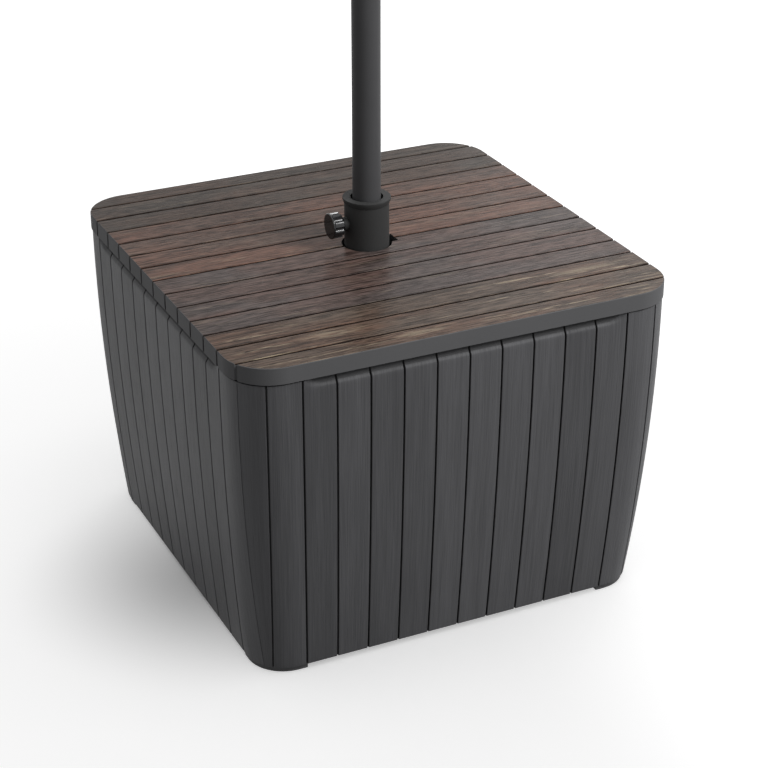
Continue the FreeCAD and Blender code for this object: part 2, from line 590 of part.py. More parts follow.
# Ballast tanks: two like blow-moulded tanks that lie on the tray either side of the socket,
# each with a round well for it, a moulded channel and a filler neck. They are filled.
FLOOR_DEPTH = f"(({WALL_TOP} - {TRAY_FLOOR}) / ({WALL_TOP} - dims.foot_height))"
TANK_HALF = (f"({WALL_HALF} - dims.wall_bow * {FLOOR_DEPTH}^2 - {TRAY_INSET}"
             " - dims.tray_thick - dims.tank_gap)")
tank = keep(new_body("ballast_tank_right"), "ballast_tank_right")
tank_sketch = new_sketch(tank, "tank_outline", offset=TRAY_FLOOR)
add_polygon(tank_sketch, [("dims.tank_gap / 2", f"-{TANK_HALF}"), (TANK_HALF, f"-{TANK_HALF}"),
                          (TANK_HALF, TANK_HALF), ("dims.tank_gap / 2", TANK_HALF)])
add_pad(tank, "tank_block", tank_sketch, "dims.tank_high")
well_sketch = new_sketch(tank, "well_outline", offset=TANK_TOP)
add_circle(well_sketch, "dims.flange_radius + dims.well_gap")
add_pad(tank, "tank_well", well_sketch, "dims.tank_high", "PartDesign::Pocket")


def upright(test):
    """Test for upright edges at places that a second test picks."""
    def chosen(edge):
        low, high = edge.Vertexes[0].Point, edge.Vertexes[-1].Point
        return abs(low.x - high.x) + abs(low.y - high.y) < 0.01 and test(low.x, low.y)
    return chosen


well_radius = sheet_size("flange_radius") + sheet_size("well_gap")
add_round(tank, "tank_corners", "dims.tank_corner", upright(lambda x, y: x > well_radius))
add_round(tank, "tank_noses", "dims.tank_nose",
          upright(lambda x, y: x < well_radius and abs(y) < 2 * well_radius))
tank_low = tank.Shape.BoundBox.ZMin
tank_high = tank.Shape.BoundBox.ZMax
add_round(tank, "tank_edges", "dims.tank_round",
          lambda edge: in_plane(tank_low)(edge) or in_plane(tank_high)(edge))
channel_sketch = new_sketch(tank, "channel_outline", offset=TANK_TOP)
CHANNEL_X = f"({TANK_HALF} / 2)"
add_polygon(channel_sketch, [(f"{CHANNEL_X} - dims.channel_wide / 2", f"-{TANK_HALF} - {PAST}"),
                             (f"{CHANNEL_X} + dims.channel_wide / 2", f"-{TANK_HALF} - {PAST}"),
                             (f"{CHANNEL_X} + dims.channel_wide / 2", f"{TANK_HALF} + {PAST}"),
                             (f"{CHANNEL_X} - dims.channel_wide / 2", f"{TANK_HALF} + {PAST}")])
add_pad(tank, "tank_channel", channel_sketch, "dims.channel_deep", "PartDesign::Pocket")
neck_sketch = new_sketch(tank, "neck_outline", offset=f"{TANK_TOP} - dims.channel_deep")
add_circle(neck_sketch, "dims.neck_radius", "dims.neck_x")
add_pad(tank, "filler_neck", neck_sketch, "dims.neck_high + dims.channel_deep")
keep(turned("ballast_tank_left", tank, 180), "ballast_tank_left")

# Filler caps: ribbed screw caps over the necks, with a flat ring seal under each.
CAP_BORE = "(dims.neck_radius + dims.cap_play)"
CAP_RADIUS = f"({CAP_BORE} + dims.cap_wall)"
SEAL_LOW = "(dims.neck_high + dims.slide_gap)"
CAP_ROOF = f"({SEAL_LOW} + dims.seal_thick)"
CAP_TOP = f"({CAP_ROOF} + dims.cap_wall)"


def on_neck(body):
    """Stand a body on the filler neck of the right tank."""
    body.setExpression("Placement.Base.x", "dims.neck_x")
    body.setExpression("Placement.Base.z", TANK_TOP)
    return body


cap = keep(on_neck(new_body("tank_cap_right")), "tank_cap_right")
cap_sketch = new_sketch(cap, "cap_profile", "XZ_Plane")
add_polygon(cap_sketch, [("0", CAP_ROOF), (CAP_BORE, CAP_ROOF), (CAP_BORE, "dims.cap_lift"),
                         (CAP_RADIUS, "dims.cap_lift"), (CAP_RADIUS, CAP_TOP), ("0", CAP_TOP)])
add_revolution(cap, "cap_cup", cap_sketch)
grip_sketch = new_sketch(cap, "grip_outline", offset="dims.cap_lift")
add_circle(grip_sketch, "dims.cap_grip", CAP_RADIUS)
grip = add_pad(cap, "cap_grip", grip_sketch, f"{CAP_TOP} - dims.cap_lift - dims.cap_grip")
add_polar(cap, "cap_grips", [grip], GRIP_COUNT)
keep(turned("tank_cap_left", cap, 180), "tank_cap_left")
seal = keep(on_neck(ring_body("cap_seal_right", "dims.neck_radius", "dims.neck_radius - dims.seal_wide",
                              SEAL_LOW, CAP_ROOF)), "cap_seal_right")
keep(turned("cap_seal_left", seal, 180), "cap_seal_left")

# Table top: one moulding with a grooved plank face, grooves carried down its two end rims,
# and a hollow underside with a grid of ribs, screw bosses and a wall round the stem hole.
TOP_HALF = "(dims.top_size / 2)"
top_block = square_block("top_block", TOP_HALF, "dims.top_corner", RIM_LOW, "dims.table_height")
add_round(top_block, "top_block_edge", "dims.top_edge", in_plane(sheet_size("table_height")))
top_floor = square_block("top_floor", f"({TOP_HALF} - dims.groove_deep)",
                         "dims.top_corner - dims.groove_deep",
                         f"{RIM_LOW} - {PAST}", "dims.table_height - dims.groove_deep")
top_blades = []
for number in range(-side_grooves, side_grooves + 1):
    line = f"{number} * dims.plank_pitch"
    low = (f"-{TOP_HALF} - {PAST}", f"{line} - dims.groove_wide / 2", f"{RIM_LOW} - {PAST}")
    high = (f"{TOP_HALF} + {PAST}", f"{line} + dims.groove_wide / 2", f"dims.table_height + {PAST}")
    top_blades.append(block(f"top_groove_{number + side_grooves + 1:02d}", low, high))
top_cutters = cut("top_cutters", group("top_grooves", top_blades), top_floor)
plank_block = cut("plank_block", top_block, top_cutters)
top_hollow = square_block("top_hollow", f"({TOP_HALF} - dims.rim_thick)", "dims.top_corner - dims.rim_thick",
                          f"{RIM_LOW} - {PAST}", PLATE_LOW)
kept = []
top_ribs = int(sheet_size("top_size") / 2 / sheet_size("rib_pitch") - 0.5)
for number in range(-top_ribs - 1, top_ribs + 1):
    line = f"({number} + 0.5) * dims.rib_pitch"
    rib = block(f"top_rib_{number + top_ribs + 1}",
                (f"-{TOP_HALF}", f"{line} - dims.rib_thick / 2", LINER_TOP),
                (TOP_HALF, f"{line} + dims.rib_thick / 2", PLATE_LOW))
    kept += [rib, turned(f"top_cross_rib_{number + top_ribs + 1}", rib, 90)]
outer_rib = f"({top_ribs} + 0.5) * dims.rib_pitch"
inner_rib = "0.5 * dims.rib_pitch"
screw_places = [(f"{a} * {outer_rib}", f"{b} * {line}") for a in (-1, 1) for b in (-1, 1)
                for line in (outer_rib, inner_rib)]
kept += [rod(f"screw_boss_{i}", "dims.screw_boss", LINER_TOP, PLATE_LOW, x, y)
         for i, (x, y) in enumerate(screw_places)]
kept.append(rod("hole_wall", f"{HOLE_RADIUS} + dims.rim_thick", LINER_TOP, PLATE_LOW))
kept.append(block("notch_wall", ("0", "-dims.notch_wide / 2 - dims.rim_thick", LINER_TOP),
                  (f"{NOTCH_OUT} + dims.rim_thick", "dims.notch_wide / 2 + dims.rim_thick", PLATE_LOW)))
top_pocket = cut("top_pocket", top_hollow, fuse("kept_ribs", kept))
top_shell = cut("top_shell", plank_block, top_pocket)
stem_hole = fuse("stem_hole", [
    rod("round_hole", HOLE_RADIUS, f"{WALL_TOP} - dims.skirt_deep", f"dims.table_height + {PAST}"),
    block("hole_notch", ("0", "-dims.notch_wide / 2", f"{WALL_TOP} - dims.skirt_deep"),
          (NOTCH_OUT, "dims.notch_wide / 2", f"dims.table_height + {PAST}"))])
screw_holes = group("screw_holes", [
    rod(f"screw_hole_{i}", "dims.screw_radius + dims.thread_play", f"{WALL_TOP} - {PAST}",
        f"{LINER_TOP} + dims.screw_bite + {PAST} / 2", x, y) for i, (x, y) in enumerate(screw_places)])
keep(cut("table_top", cut("top_with_hole", top_shell, stem_hole), screw_holes), "table_top")

# Liner: ribbed plate screwed into the underside of the top, which rests on the ledge of the
# walls and centres itself with a skirt inside it.
liner_plate = square_block("liner_plate", f"({TOP_HALF} - dims.rim_thick - dims.fit_gap)",
                           "dims.top_corner - dims.rim_thick - dims.fit_gap", WALL_TOP, LINER_TOP)
SKIRT_HALF = f"({WALL_HALF} - dims.ledge_wide - dims.skirt_gap)"
SKIRT_CORNER = "dims.wall_corner - dims.ledge_wide - dims.skirt_gap"
SKIRT_LOW = f"{WALL_TOP} - dims.skirt_deep"
skirt_outer = square_block("skirt_outer", SKIRT_HALF, SKIRT_CORNER, SKIRT_LOW, WALL_TOP)
skirt_inner = square_block("skirt_inner", f"({SKIRT_HALF} - dims.skirt_thick)",
                           f"{SKIRT_CORNER} - dims.skirt_thick", f"{SKIRT_LOW} - {PAST}", WALL_TOP)
liner_pieces = [liner_plate, cut("skirt", skirt_outer, skirt_inner)]
for number in range(-top_ribs, top_ribs + 1):
    line = f"{number} * dims.rib_pitch"
    rib = block(f"liner_rib_{number + top_ribs}",
                (f"-{SKIRT_HALF} + dims.skirt_thick / 2", f"{line} - dims.rib_thick / 2",
                 f"{WALL_TOP} - dims.liner_rib"),
                (f"{SKIRT_HALF} - dims.skirt_thick / 2", f"{line} + dims.rib_thick / 2", WALL_TOP))
    liner_pieces += [rib, turned(f"liner_cross_rib_{number + top_ribs}", rib, 90)]
liner_whole = cut("liner_with_hole", fuse("liner_whole", liner_pieces), stem_hole)
keep(cut("top_liner", liner_whole, screw_holes), "top_liner")
screws = []
for i, (x, y) in enumerate(screw_places):
    head = rod(f"screw_head_{i}", "dims.screw_head", f"{WALL_TOP} - dims.screw_flat", WALL_TOP, x, y)
    shank = rod(f"screw_shank_{i}", "dims.screw_radius", WALL_TOP, f"{LINER_TOP} + dims.screw_bite", x, y)
    screws.append(fuse(f"screw_{i}", [head, shank]))
keep(group("top_screws", screws), "top_screws")

# Stem: steel sleeve that stands in the socket, with a plug in its foot that the mast rests on
# and two bushes that centre the mast.
stem = keep(ring_body("stem_tube", "dims.stem_radius", STEM_BORE, STEM_LOW, STEM_TOP), "stem_tube")
stud_sketch = new_sketch(stem, "stud_hole_outline", "YZ_Plane")
add_circle(stud_sketch, "dims.stud_radius + dims.bolt_play", "0", CLAMP_HIGH)
add_pad(stem, "stud_hole", stud_sketch, f"dims.stem_radius + {PAST}", "PartDesign::Pocket")
BUSH_RADIUS = f"({STEM_BORE} - dims.thread_play)"
BUSH_BORE = "(dims.mast_radius + dims.slide_gap)"
keep(ring_body("stem_plug", BUSH_RADIUS, "dims.drain_radius", STEM_LOW,
               f"{STEM_LOW} + dims.plug_high"), "stem_plug")
keep(ring_body("mast_bush_lower", BUSH_RADIUS, BUSH_BORE, f"{STEM_LOW} + dims.bush_lower",
               f"{STEM_LOW} + dims.bush_lower + dims.bush_high"), "mast_bush_lower")
BUSH_TOP = "(dims.table_height - dims.bush_drop)"
keep(ring_body("mast_bush_upper", BUSH_RADIUS, BUSH_BORE, f"{BUSH_TOP} - dims.bush_high", BUSH_TOP),
     "mast_bush_upper")

# Collar: moulded head over the stem tube, with a flared lip, a narrower mouth and a boss on
# its left side that holds a threaded brass insert.
COLLAR_BORE = "(dims.stem_radius + dims.thread_play)"
LIP_RADIUS = f"({COLLAR_RADIUS} + dims.collar_lip)"
LIP_LOW = f"({COLLAR_TOP} - dims.lip_high)"
MOUTH_RADIUS = "(dims.mast_radius + dims.mouth_gap)"
COLLAR_LOW = "dims.table_height - dims.collar_drop"
collar = keep(new_body("collar"), "collar")
collar_sketch = new_sketch(collar, "collar_profile", "XZ_Plane")
add_polygon(collar_sketch, [(COLLAR_BORE, COLLAR_LOW), (COLLAR_RADIUS, COLLAR_LOW),
                            (COLLAR_RADIUS, f"{LIP_LOW} - dims.lip_taper"), (LIP_RADIUS, LIP_LOW),
                            (LIP_RADIUS, COLLAR_TOP), (MOUTH_RADIUS, COLLAR_TOP),
                            (MOUTH_RADIUS, STEM_TOP), (COLLAR_BORE, STEM_TOP)])
add_revolution(collar, "collar_sleeve", collar_sketch)
add_round(collar, "collar_edge", "dims.collar_round",
          in_plane(sheet_size("table_height") + sheet_size("collar_rise")))
boss_sketch = new_sketch(collar, "boss_outline", "YZ_Plane", f"-{BOSS_OUT}")
add_circle(boss_sketch, "dims.boss_radius", "0", CLAMP_HIGH)
add_pad(collar, "clamp_boss", boss_sketch, f"{BOSS_OUT} - {COLLAR_BORE} - dims.collar_wall / 3")
insert_sketch = new_sketch(collar, "insert_outline", "YZ_Plane", f"-{BOSS_OUT}")
add_circle(insert_sketch, "dims.insert_radius + dims.thread_play", "0", CLAMP_HIGH)
insert_hole = add_pad(collar, "insert_hole", insert_sketch, f"{BOSS_OUT} - dims.stem_radius / 2",
                      "PartDesign::Pocket")
insert_hole.Reversed = True


def clamp_body(name):
    """Body whose own X axis is the axis of the clamp screw."""
    body = new_body(name)
    body.setExpression("Placement.Base.z", CLAMP_HIGH)
    return body


def clamp_disc(body, name, radius, start, end, hole=None):
    """Disc or ring on that axis, between two distances from the mast's axis."""
    sketch = new_sketch(body, f"{name}_outline", "YZ_Plane", f"-({end})")
    add_circle(sketch, radius)
    if hole:
        add_circle(sketch, hole)
    return add_pad(body, name, sketch, f"({end}) - ({start})")


insert = keep(clamp_body("clamp_insert"), "clamp_insert")
clamp_disc(insert, "insert_ring", "dims.insert_radius", f"{COLLAR_BORE} + dims.insert_sunk",
           f"{BOSS_OUT} - dims.insert_sunk", "dims.stud_radius + dims.thread_play")

# Clamp knob: star knob with eight scallops on a short neck, with a smooth disc on its face,
# moulded on a steel screw whose soft pad presses on the mast.
NECK_IN = f"({BOSS_OUT} + dims.pad_gap)"
KNOB_IN = f"({NECK_IN} + dims.knob_neck)"
KNOB_OUT = f"({KNOB_IN} + dims.knob_thick)"
knob = keep(clamp_body("clamp_knob"), "clamp_knob")
clamp_disc(knob, "knob_disc", "dims.knob_radius", KNOB_IN, KNOB_OUT)
scallop_sketch = new_sketch(knob, "scallop_outline", "YZ_Plane", f"-{KNOB_OUT}")
add_circle(scallop_sketch, "dims.scallop_radius", "0",
           "dims.knob_radius + dims.scallop_radius - dims.scallop_deep")
scallop = add_pad(knob, "scallop", scallop_sketch, "dims.knob_thick", "PartDesign::Pocket")
scallop.Reversed = True
add_polar(knob, "scallops", [scallop], LOBE_COUNT, "X_Axis")
doc.recompute()
knob_out = -knob.Shape.BoundBox.XMin
knob_in = -knob.Shape.BoundBox.XMax
add_round(knob, "knob_edges", "dims.knob_round",
          lambda edge: all(min(abs(v.X + knob_out), abs(v.X + knob_in)) < 0.01 for v in edge.Vertexes)
          and abs(edge.Vertexes[0].X - edge.Vertexes[-1].X) < 0.01)
clamp_disc(knob, "knob_neck", "dims.neck_round", NECK_IN, KNOB_IN)
bore_sketch = new_sketch(knob, "stud_bore_outline", "YZ_Plane", f"-{NECK_IN}")
add_circle(bore_sketch, "dims.stud_radius + dims.thread_play")
add_pad(knob, "stud_bore", bore_sketch, "dims.stud_hold", "PartDesign::Pocket")
face = keep(clamp_body("knob_face"), "knob_face")
clamp_disc(face, "face_disc", "dims.face_radius", KNOB_OUT, f"{KNOB_OUT} + dims.face_thick")
add_round(face, "face_edge", "dims.face_thick / 2",
          lambda edge: all(abs(v.X + knob_out + sheet_size("face_thick")) < 0.01 for v in edge.Vertexes))
PAD_IN = "(dims.mast_radius + dims.pad_gap)"
PAD_OUT = f"({PAD_IN} + dims.pad_thick)"
stud = keep(clamp_body("clamp_stud"), "clamp_stud")
clamp_disc(stud, "stud_rod", "dims.stud_radius", PAD_OUT, f"{NECK_IN} + dims.stud_hold")
pad = keep(clamp_body("clamp_pad"), "clamp_pad")
clamp_disc(pad, "pad_disc", "dims.stud_radius", PAD_IN, PAD_OUT)

# Mast: lower length of a round pole, with a plug in its foot and a lined socket in its top
# for the next length.
keep(ring_body("mast_tube", "dims.mast_radius", MAST_BORE, TUBE_LOW, TUBE_TOP), "mast_tube")
PLUG_RADIUS = f"({MAST_BORE} - dims.thread_play)"
mast_foot = keep(new_body("mast_foot"), "mast_foot")
foot_sketch = new_sketch(mast_foot, "mast_foot_profile", "XZ_Plane")
add_polygon(foot_sketch, [("0", MAST_LOW), ("dims.mast_radius", MAST_LOW), ("dims.mast_radius", TUBE_LOW),
                          (PLUG_RADIUS, TUBE_LOW), (PLUG_RADIUS, f"{TUBE_LOW} + dims.foot_spigot"),
                          ("0", f"{TUBE_LOW} + dims.foot_spigot")])
add_revolution(mast_foot, "mast_foot_plug", foot_sketch)
joint_liner = keep(new_body("mast_joint_liner"), "mast_joint_liner")
joint_sketch = new_sketch(joint_liner, "joint_profile", "XZ_Plane")
JOINT_BORE = f"({PLUG_RADIUS} - dims.joint_wall)"
add_polygon(joint_sketch, [(JOINT_BORE, f"{TUBE_TOP} - dims.joint_deep"),
                           (PLUG_RADIUS, f"{TUBE_TOP} - dims.joint_deep"), (PLUG_RADIUS, TUBE_TOP),
                           ("dims.mast_radius", TUBE_TOP),
                           ("dims.mast_radius", f"{TUBE_TOP} + dims.joint_lip"),
                           (JOINT_BORE, f"{TUBE_TOP} + dims.joint_lip")])
add_revolution(joint_liner, "joint_sleeve", joint_sketch)

# Check every object, then write each piece to its own file.
doc.recompute()
for item in doc.Objects:
    if "Invalid" in item.State or "Error" in item.State:
        raise RuntimeError(f"{item.Label} did not build: {item.State}")
os.makedirs("parts", exist_ok=True)
for piece in parts:
    if piece.Shape.isNull() or not piece.Shape.isValid():
        raise RuntimeError(f"{piece.Label} is not a valid solid")
for piece in parts:
    piece.Shape.exportStep(f"parts/{piece.Label}.step")
    print(piece.Label, len(piece.Shape.Solids), round(piece.Shape.Volume), piece.Shape.BoundBox)
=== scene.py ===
import math

import bmesh
import bpy
from mathutils import Matrix, Vector


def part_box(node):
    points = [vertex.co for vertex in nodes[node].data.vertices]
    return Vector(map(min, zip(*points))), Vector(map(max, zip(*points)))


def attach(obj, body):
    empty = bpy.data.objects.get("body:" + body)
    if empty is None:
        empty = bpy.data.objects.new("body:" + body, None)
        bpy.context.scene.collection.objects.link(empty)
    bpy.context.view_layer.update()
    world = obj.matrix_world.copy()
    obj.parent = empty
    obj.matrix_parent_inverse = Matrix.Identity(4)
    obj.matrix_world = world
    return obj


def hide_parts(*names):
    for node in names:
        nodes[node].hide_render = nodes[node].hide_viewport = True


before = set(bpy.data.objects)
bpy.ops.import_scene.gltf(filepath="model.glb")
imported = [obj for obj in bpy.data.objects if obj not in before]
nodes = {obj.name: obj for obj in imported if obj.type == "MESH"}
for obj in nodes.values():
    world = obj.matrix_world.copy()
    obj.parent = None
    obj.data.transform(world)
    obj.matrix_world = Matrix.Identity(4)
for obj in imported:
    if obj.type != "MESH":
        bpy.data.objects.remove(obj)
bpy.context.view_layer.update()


# Floor tray: a shallow tray of grey resin with four corner feet, which everything else stands on.
# Injection moulded, with the matt, finely eroded surface of a mould; the walls snap on to it.

# Numbers of the sockets that a Mix node uses for colours.
MIX_SHARE, MIX_FIRST, MIX_SECOND = 0, 6, 7
MIX_COLOUR = 2


class Value:
    """One output of a finish's nodes. A sum written with it adds the Math nodes that work it out."""

    def __init__(self, socket):
        self.socket = socket

    def node(self, kind, settings, sockets, output=0):
        """Add any other node here: its settings first, then the values or links of its sockets."""
        tree = self.socket.id_data
        made = tree.nodes.new("ShaderNode" + kind)
        for name, setting in settings.items():
            if name == "stops":
                ramp = made.color_ramp.elements
                while len(ramp) < len(setting):
                    ramp.new(1.0)
                for stop, (position, colour) in zip(ramp, setting):
                    stop.position = position
                    stop.color = (*colour, 1)
            elif name == "blending":
                made.color_ramp.interpolation = setting
            else:
                setattr(made, name, setting)
        for name, value in sockets.items():
            target = made.inputs[name]
            if isinstance(value, Value):
                tree.links.new(value.socket, target)
            elif target.type == "RGBA":
                target.default_value = (*value, 1)
            else:
                target.default_value = value
        return Value(made.outputs[output])

    def maths(self, operation, *others):
        """Result of a Math node for this value and any others."""
        return self.node("Math", {"operation": operation}, dict(enumerate((self, *others))))

    def __add__(self, other):
        return self.maths("ADD", other)

    __radd__ = __add__

    def __mul__(self, other):
        return self.maths("MULTIPLY", other)

    __rmul__ = __mul__

    def __sub__(self, other):
        return self.maths("SUBTRACT", other)

    def __rsub__(self, other):
        return self.node("Math", {"operation": "SUBTRACT"}, {0: other, 1: self})

    def __truediv__(self, other):
        return self.maths("DIVIDE", other)

    def __rtruediv__(self, other):
        return self.node("Math", {"operation": "DIVIDE"}, {0: other, 1: self})

    def part(self, axis):
        """The X, Y or Z of a vector."""
        return self.node("SeparateXYZ", {}, {0: self}, "XYZ".index(axis))

    def stretched(self, x, y, z):
        """A vector multiplied along each axis."""
        return self.node("VectorMath", {"operation": "MULTIPLY"}, {0: self, 1: (x, y, z)})

    def noise(self, scale, detail):
        """Smooth noise: its waves to a unit of these coordinates, and the finer layers over them."""
        return self.node("TexNoise", {}, {"Vector": self, "Scale": scale, "Detail": detail})

    def ramp(self, low, high):
        """Nought below low, one above high and smooth between."""
        return self.node("MapRange", {"interpolation_type": "SMOOTHSTEP"}, {0: self, 1: low, 2: high})

    def mix(self, low, high):
        """Colour between two others, with this value as the share of the second."""
        return self.node("Mix", {"data_type": "RGBA"},
                         {MIX_SHARE: self, MIX_FIRST: low, MIX_SECOND: high}, MIX_COLOUR)

    def tinted(self, tint):
        """Product of this colour and another."""
        return self.node("Mix", {"data_type": "RGBA", "blend_type": "MULTIPLY"},
                         {MIX_SHARE: 1.0, MIX_FIRST: self, MIX_SECOND: tint}, MIX_COLOUR)

    def bump(self, depth, strength):
        """Normal of a surface with this value as its relief, depth metres deep."""
        return self.node("Bump", {}, {"Height": self, "Distance": depth, "Strength": strength})


def finish(name, surface, coordinates="Object"):
    """Material whose surface function turns coordinates into the sockets of a Principled shader."""
    material = bpy.data.materials.new(name)
    material.use_nodes = True
    tree = material.node_tree
    tree.nodes.clear()
    place = Value(tree.nodes.new("ShaderNodeTexCoord").outputs[coordinates])
    shader = place.node("BsdfPrincipled", {}, surface(place))
    output = tree.nodes.new("ShaderNodeOutputMaterial")
    tree.links.new(shader.socket, output.inputs["Surface"])
    return material


def coat(node, material):
    """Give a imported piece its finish."""
    slots = nodes[node].data.materials
    slots.clear()
    slots.append(material)


def shades(colour, spread):
    """A darker and a lighter shade of a colour, an equal share either way."""
    return tuple(c * (1 - spread) for c in colour), tuple(c * (1 + spread) for c in colour)


GREY_RESIN = (0.050, 0.050, 0.052)
RESIN_CLOUDS = 9
RESIN_SPECKS = 900
SPECK_SHARE = 0.3
SPECK_DEEP, SPECK_STRENGTH = 0.0003, 0.35
RESIN_ROUGH, CLOUD_ROUGH = 0.5, 0.2


def matt_resin(colour, spread=0.25, gloss=0.3):
    """Eroded mould surface: fine speckle in the relief, and a faint cloudiness in tone and gloss."""
    def surface(place):
        cloud = place.noise(RESIN_CLOUDS, detail=3)
        speckle = place.noise(RESIN_SPECKS, detail=2)
        tone = cloud * (1 - SPECK_SHARE) + speckle * SPECK_SHARE
        return {"Base Color": tone.mix(*shades(colour, spread)),
                "Roughness": RESIN_ROUGH + cloud * CLOUD_ROUGH,
                "Specular IOR Level": gloss,
                "Normal": speckle.bump(SPECK_DEEP, SPECK_STRENGTH)}
    return surface


inner_grey = finish("grey_moulding_inside", matt_resin(GREY_RESIN))
coat("floor_tray", inner_grey)
coat("corner_feet", inner_grey)


# Stem socket: a steel flange with a welded tube and four gussets, powder coated dark grey,
# held on the tray by four zinc-plated bolts with washers and nuts.

COATED_STEEL = (0.056, 0.056, 0.058)
COAT_SPREAD = 0.15
COAT_DRIFT = 14
COAT_PEEL = 420
PEEL_DEEP, PEEL_STRENGTH = 0.0002, 0.25
COAT_ROUGH, DRIFT_ROUGH = 0.40, 0.12
COAT_GLOSS = 0.06
ZINC_SHADES = ((0.42, 0.42, 0.44), (0.66, 0.66, 0.67))
ZINC_CLOUDS = 130
ZINC_ROUGH, BATH_ROUGH = 0.28, 0.22


def powder_coat(place):
    """Powder coat: a slight orange peel and an even satin gloss."""
    peel = place.noise(COAT_PEEL, detail=1.5)
    drift = place.noise(COAT_DRIFT, detail=2)
    return {"Base Color": drift.mix(*shades(COATED_STEEL, COAT_SPREAD)),
            "Roughness": COAT_ROUGH + drift * DRIFT_ROUGH,
            "Specular IOR Level": COAT_GLOSS,
            "Normal": peel.bump(PEEL_DEEP, PEEL_STRENGTH)}


def zinc_plate(place):
    """Bright zinc over steel, with the faint clouds of the bath."""
    cloud = place.noise(ZINC_CLOUDS, detail=4)
    return {"Base Color": cloud.mix(*ZINC_SHADES),
            "Metallic": 1.0,
            "Roughness": ZINC_ROUGH + cloud * BATH_ROUGH}


coated_steel = finish("coated_steel", powder_coat)
zinc = finish("zinc_steel", zinc_plate)
coat("base_socket", coated_steel)
for fastener in ("socket_bolts", "socket_washers", "socket_nuts"):
    coat(fastener, zinc)


# Ballast tanks: two blow-moulded black tanks, filled with water, lying either side of the socket.
# Each has a ribbed screw cap on its filler neck, with a rubber ring under it.

TANK_BLACK = (0.026, 0.026, 0.027)
CAP_BLACK = (0.016, 0.016, 0.017)
RUBBER_BLACK = (0.018, 0.018, 0.018)

tank_black = finish("tank_moulding", matt_resin(TANK_BLACK, spread=0.35))
cap_black = finish("black_moulding", matt_resin(CAP_BLACK))
rubber = finish("soft_rubber", matt_resin(RUBBER_BLACK, spread=0.15))
for side in ("left", "right"):
    coat(f"ballast_tank_{side}", tank_black)
    coat(f"tank_cap_{side}", cap_black)
    coat(f"cap_seal_{side}", rubber)


# Wall panels: bowed, tapering resin panels moulded as a row of upright boards with soft edges, an
# embossed wood grain and a finger scoop under the top. The side panels carry the rounded corners.
# The panels lap at their seams and snap on to the tray.

PLANK_PITCH = 0.045
FRONT_BOARDS = 6
GROOVE_WIDE = 0.0023
SEAM_WIDE = 0.0004
GROOVE_DEEP = 0.0028
SOFT_EDGE = 0.0009
WALL_THICK = 0.005
WALL_BOW = 0.022
BOARD_TAPER = 0.0016
CORNER_RADIUS = 0.057
CORNER_DRAFT = 0.004
LEDGE_WIDE = 0.020
LEDGE_HIGH = 0.018
SCOOP_HALF = 0.195
SCOOP_FADE = 0.027
SCOOP_DEEP = 0.005
SCOOP_HIGH = 0.0115
SCOOP_SOFT = 0.0018
SCOOP_TAIL = 0.0075
# Depth past which the scoop's faces take a darker, duller grey as painted shade.
SHADED_SCOOP_DEPTH = 0.0029

# How finely the bent surfaces are cut, and the scoop's cuts by their drop below the head.
SCOOP_CUTS = (0.0025, 0.004, 0.0055, 0.007, 0.0082, 0.0092, 0.010,
              0.0107, 0.0114, 0.0121, 0.013, 0.014, 0.0155)
BOW_STEPS = 24
BOARD_STEPS = 4
FADE_STEPS = 8
EDGE_STEPS = 3

# Limits for telling faces and edges apart: places, cosines and the turn that makes an edge sharp.
HAIR = 1e-5
TOUCH = 1e-6
FACING = 0.9
SQUARE = 0.1
SHARP_TURN = math.radians(38)

BOARD_FACE, GROOVE_FACE, INNER_FACE, SHADED_SCOOP_FACE = range(4)

front_low, front_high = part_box("wall_front")
WALL_FOOT = front_low.z
WALL_TOP = front_high.z
WALL_HALF = -front_low.y


def scoop_depth(across, drop):
    """How far the scoop sinks in at a distance from the panel's middle and below its head."""
    out = (SCOOP_HIGH ** 2 - SCOOP_DEEP ** 2) / (2 * SCOOP_DEEP)
    fade = (SCOOP_FADE ** 2 + SCOOP_DEEP ** 2) / (2 * SCOOP_DEEP)
    past = max(abs(across) - SCOOP_HALF, 0)
    if past >= SCOOP_FADE:
        return 0.0
    radius = out + SCOOP_DEEP - (fade - math.sqrt(max(fade ** 2 - past ** 2, 0)))
    inside = math.sqrt(max(radius ** 2 - drop ** 2, 0)) - out
    edge = math.sqrt(radius ** 2 - out ** 2)
    if drop > edge:
        inside = -(drop - edge) * edge / out
    soft = (inside + math.sqrt(inside ** 2 + SCOOP_SOFT ** 2)) / 2
    return max(soft - SCOOP_SOFT ** 2 / (4 * SCOOP_TAIL), 0)


def bow(flat):
    """Bend a point of the flat panel on to the bowed wall: X along the boards' row, Y inwards, Z up."""
    drop = WALL_TOP - flat.z
    share = drop / (WALL_TOP - WALL_FOOT)
    radius = CORNER_RADIUS - CORNER_DRAFT * share
    middle = WALL_HALF - WALL_BOW * share ** 2 - radius
    pitch = PLANK_PITCH - BOARD_TAPER * share ** 2
    row = abs(flat.x) / PLANK_PITCH
    sink = flat.y
    if sink <= GROOVE_DEEP + HAIR:
        sink += scoop_depth(flat.x, drop)
    last = math.asin(min(max((FRONT_BOARDS * pitch - middle) / radius, 0), 1))
    if row <= FRONT_BOARDS:
        turn = math.asin(min(max((row * pitch - middle) / radius, 0), 1))
    else:
        turn = last + (row - FRONT_BOARDS) * (math.pi / 2 - 2 * last)
    straight = min(row * pitch, middle)
    x = straight + (radius - sink) * math.sin(turn)
    y = -middle - (radius - sink) * math.cos(turn)
    return Vector((math.copysign(x, flat.x), y, flat.z))


def new_block(size, middle):
    """Closed block of a size about a middle."""
    block = bmesh.new()
    bmesh.ops.create_cube(block, size=1)
    bmesh.ops.transform(block, matrix=Matrix.LocRotScale(middle, None, size), verts=block.verts)
    return block


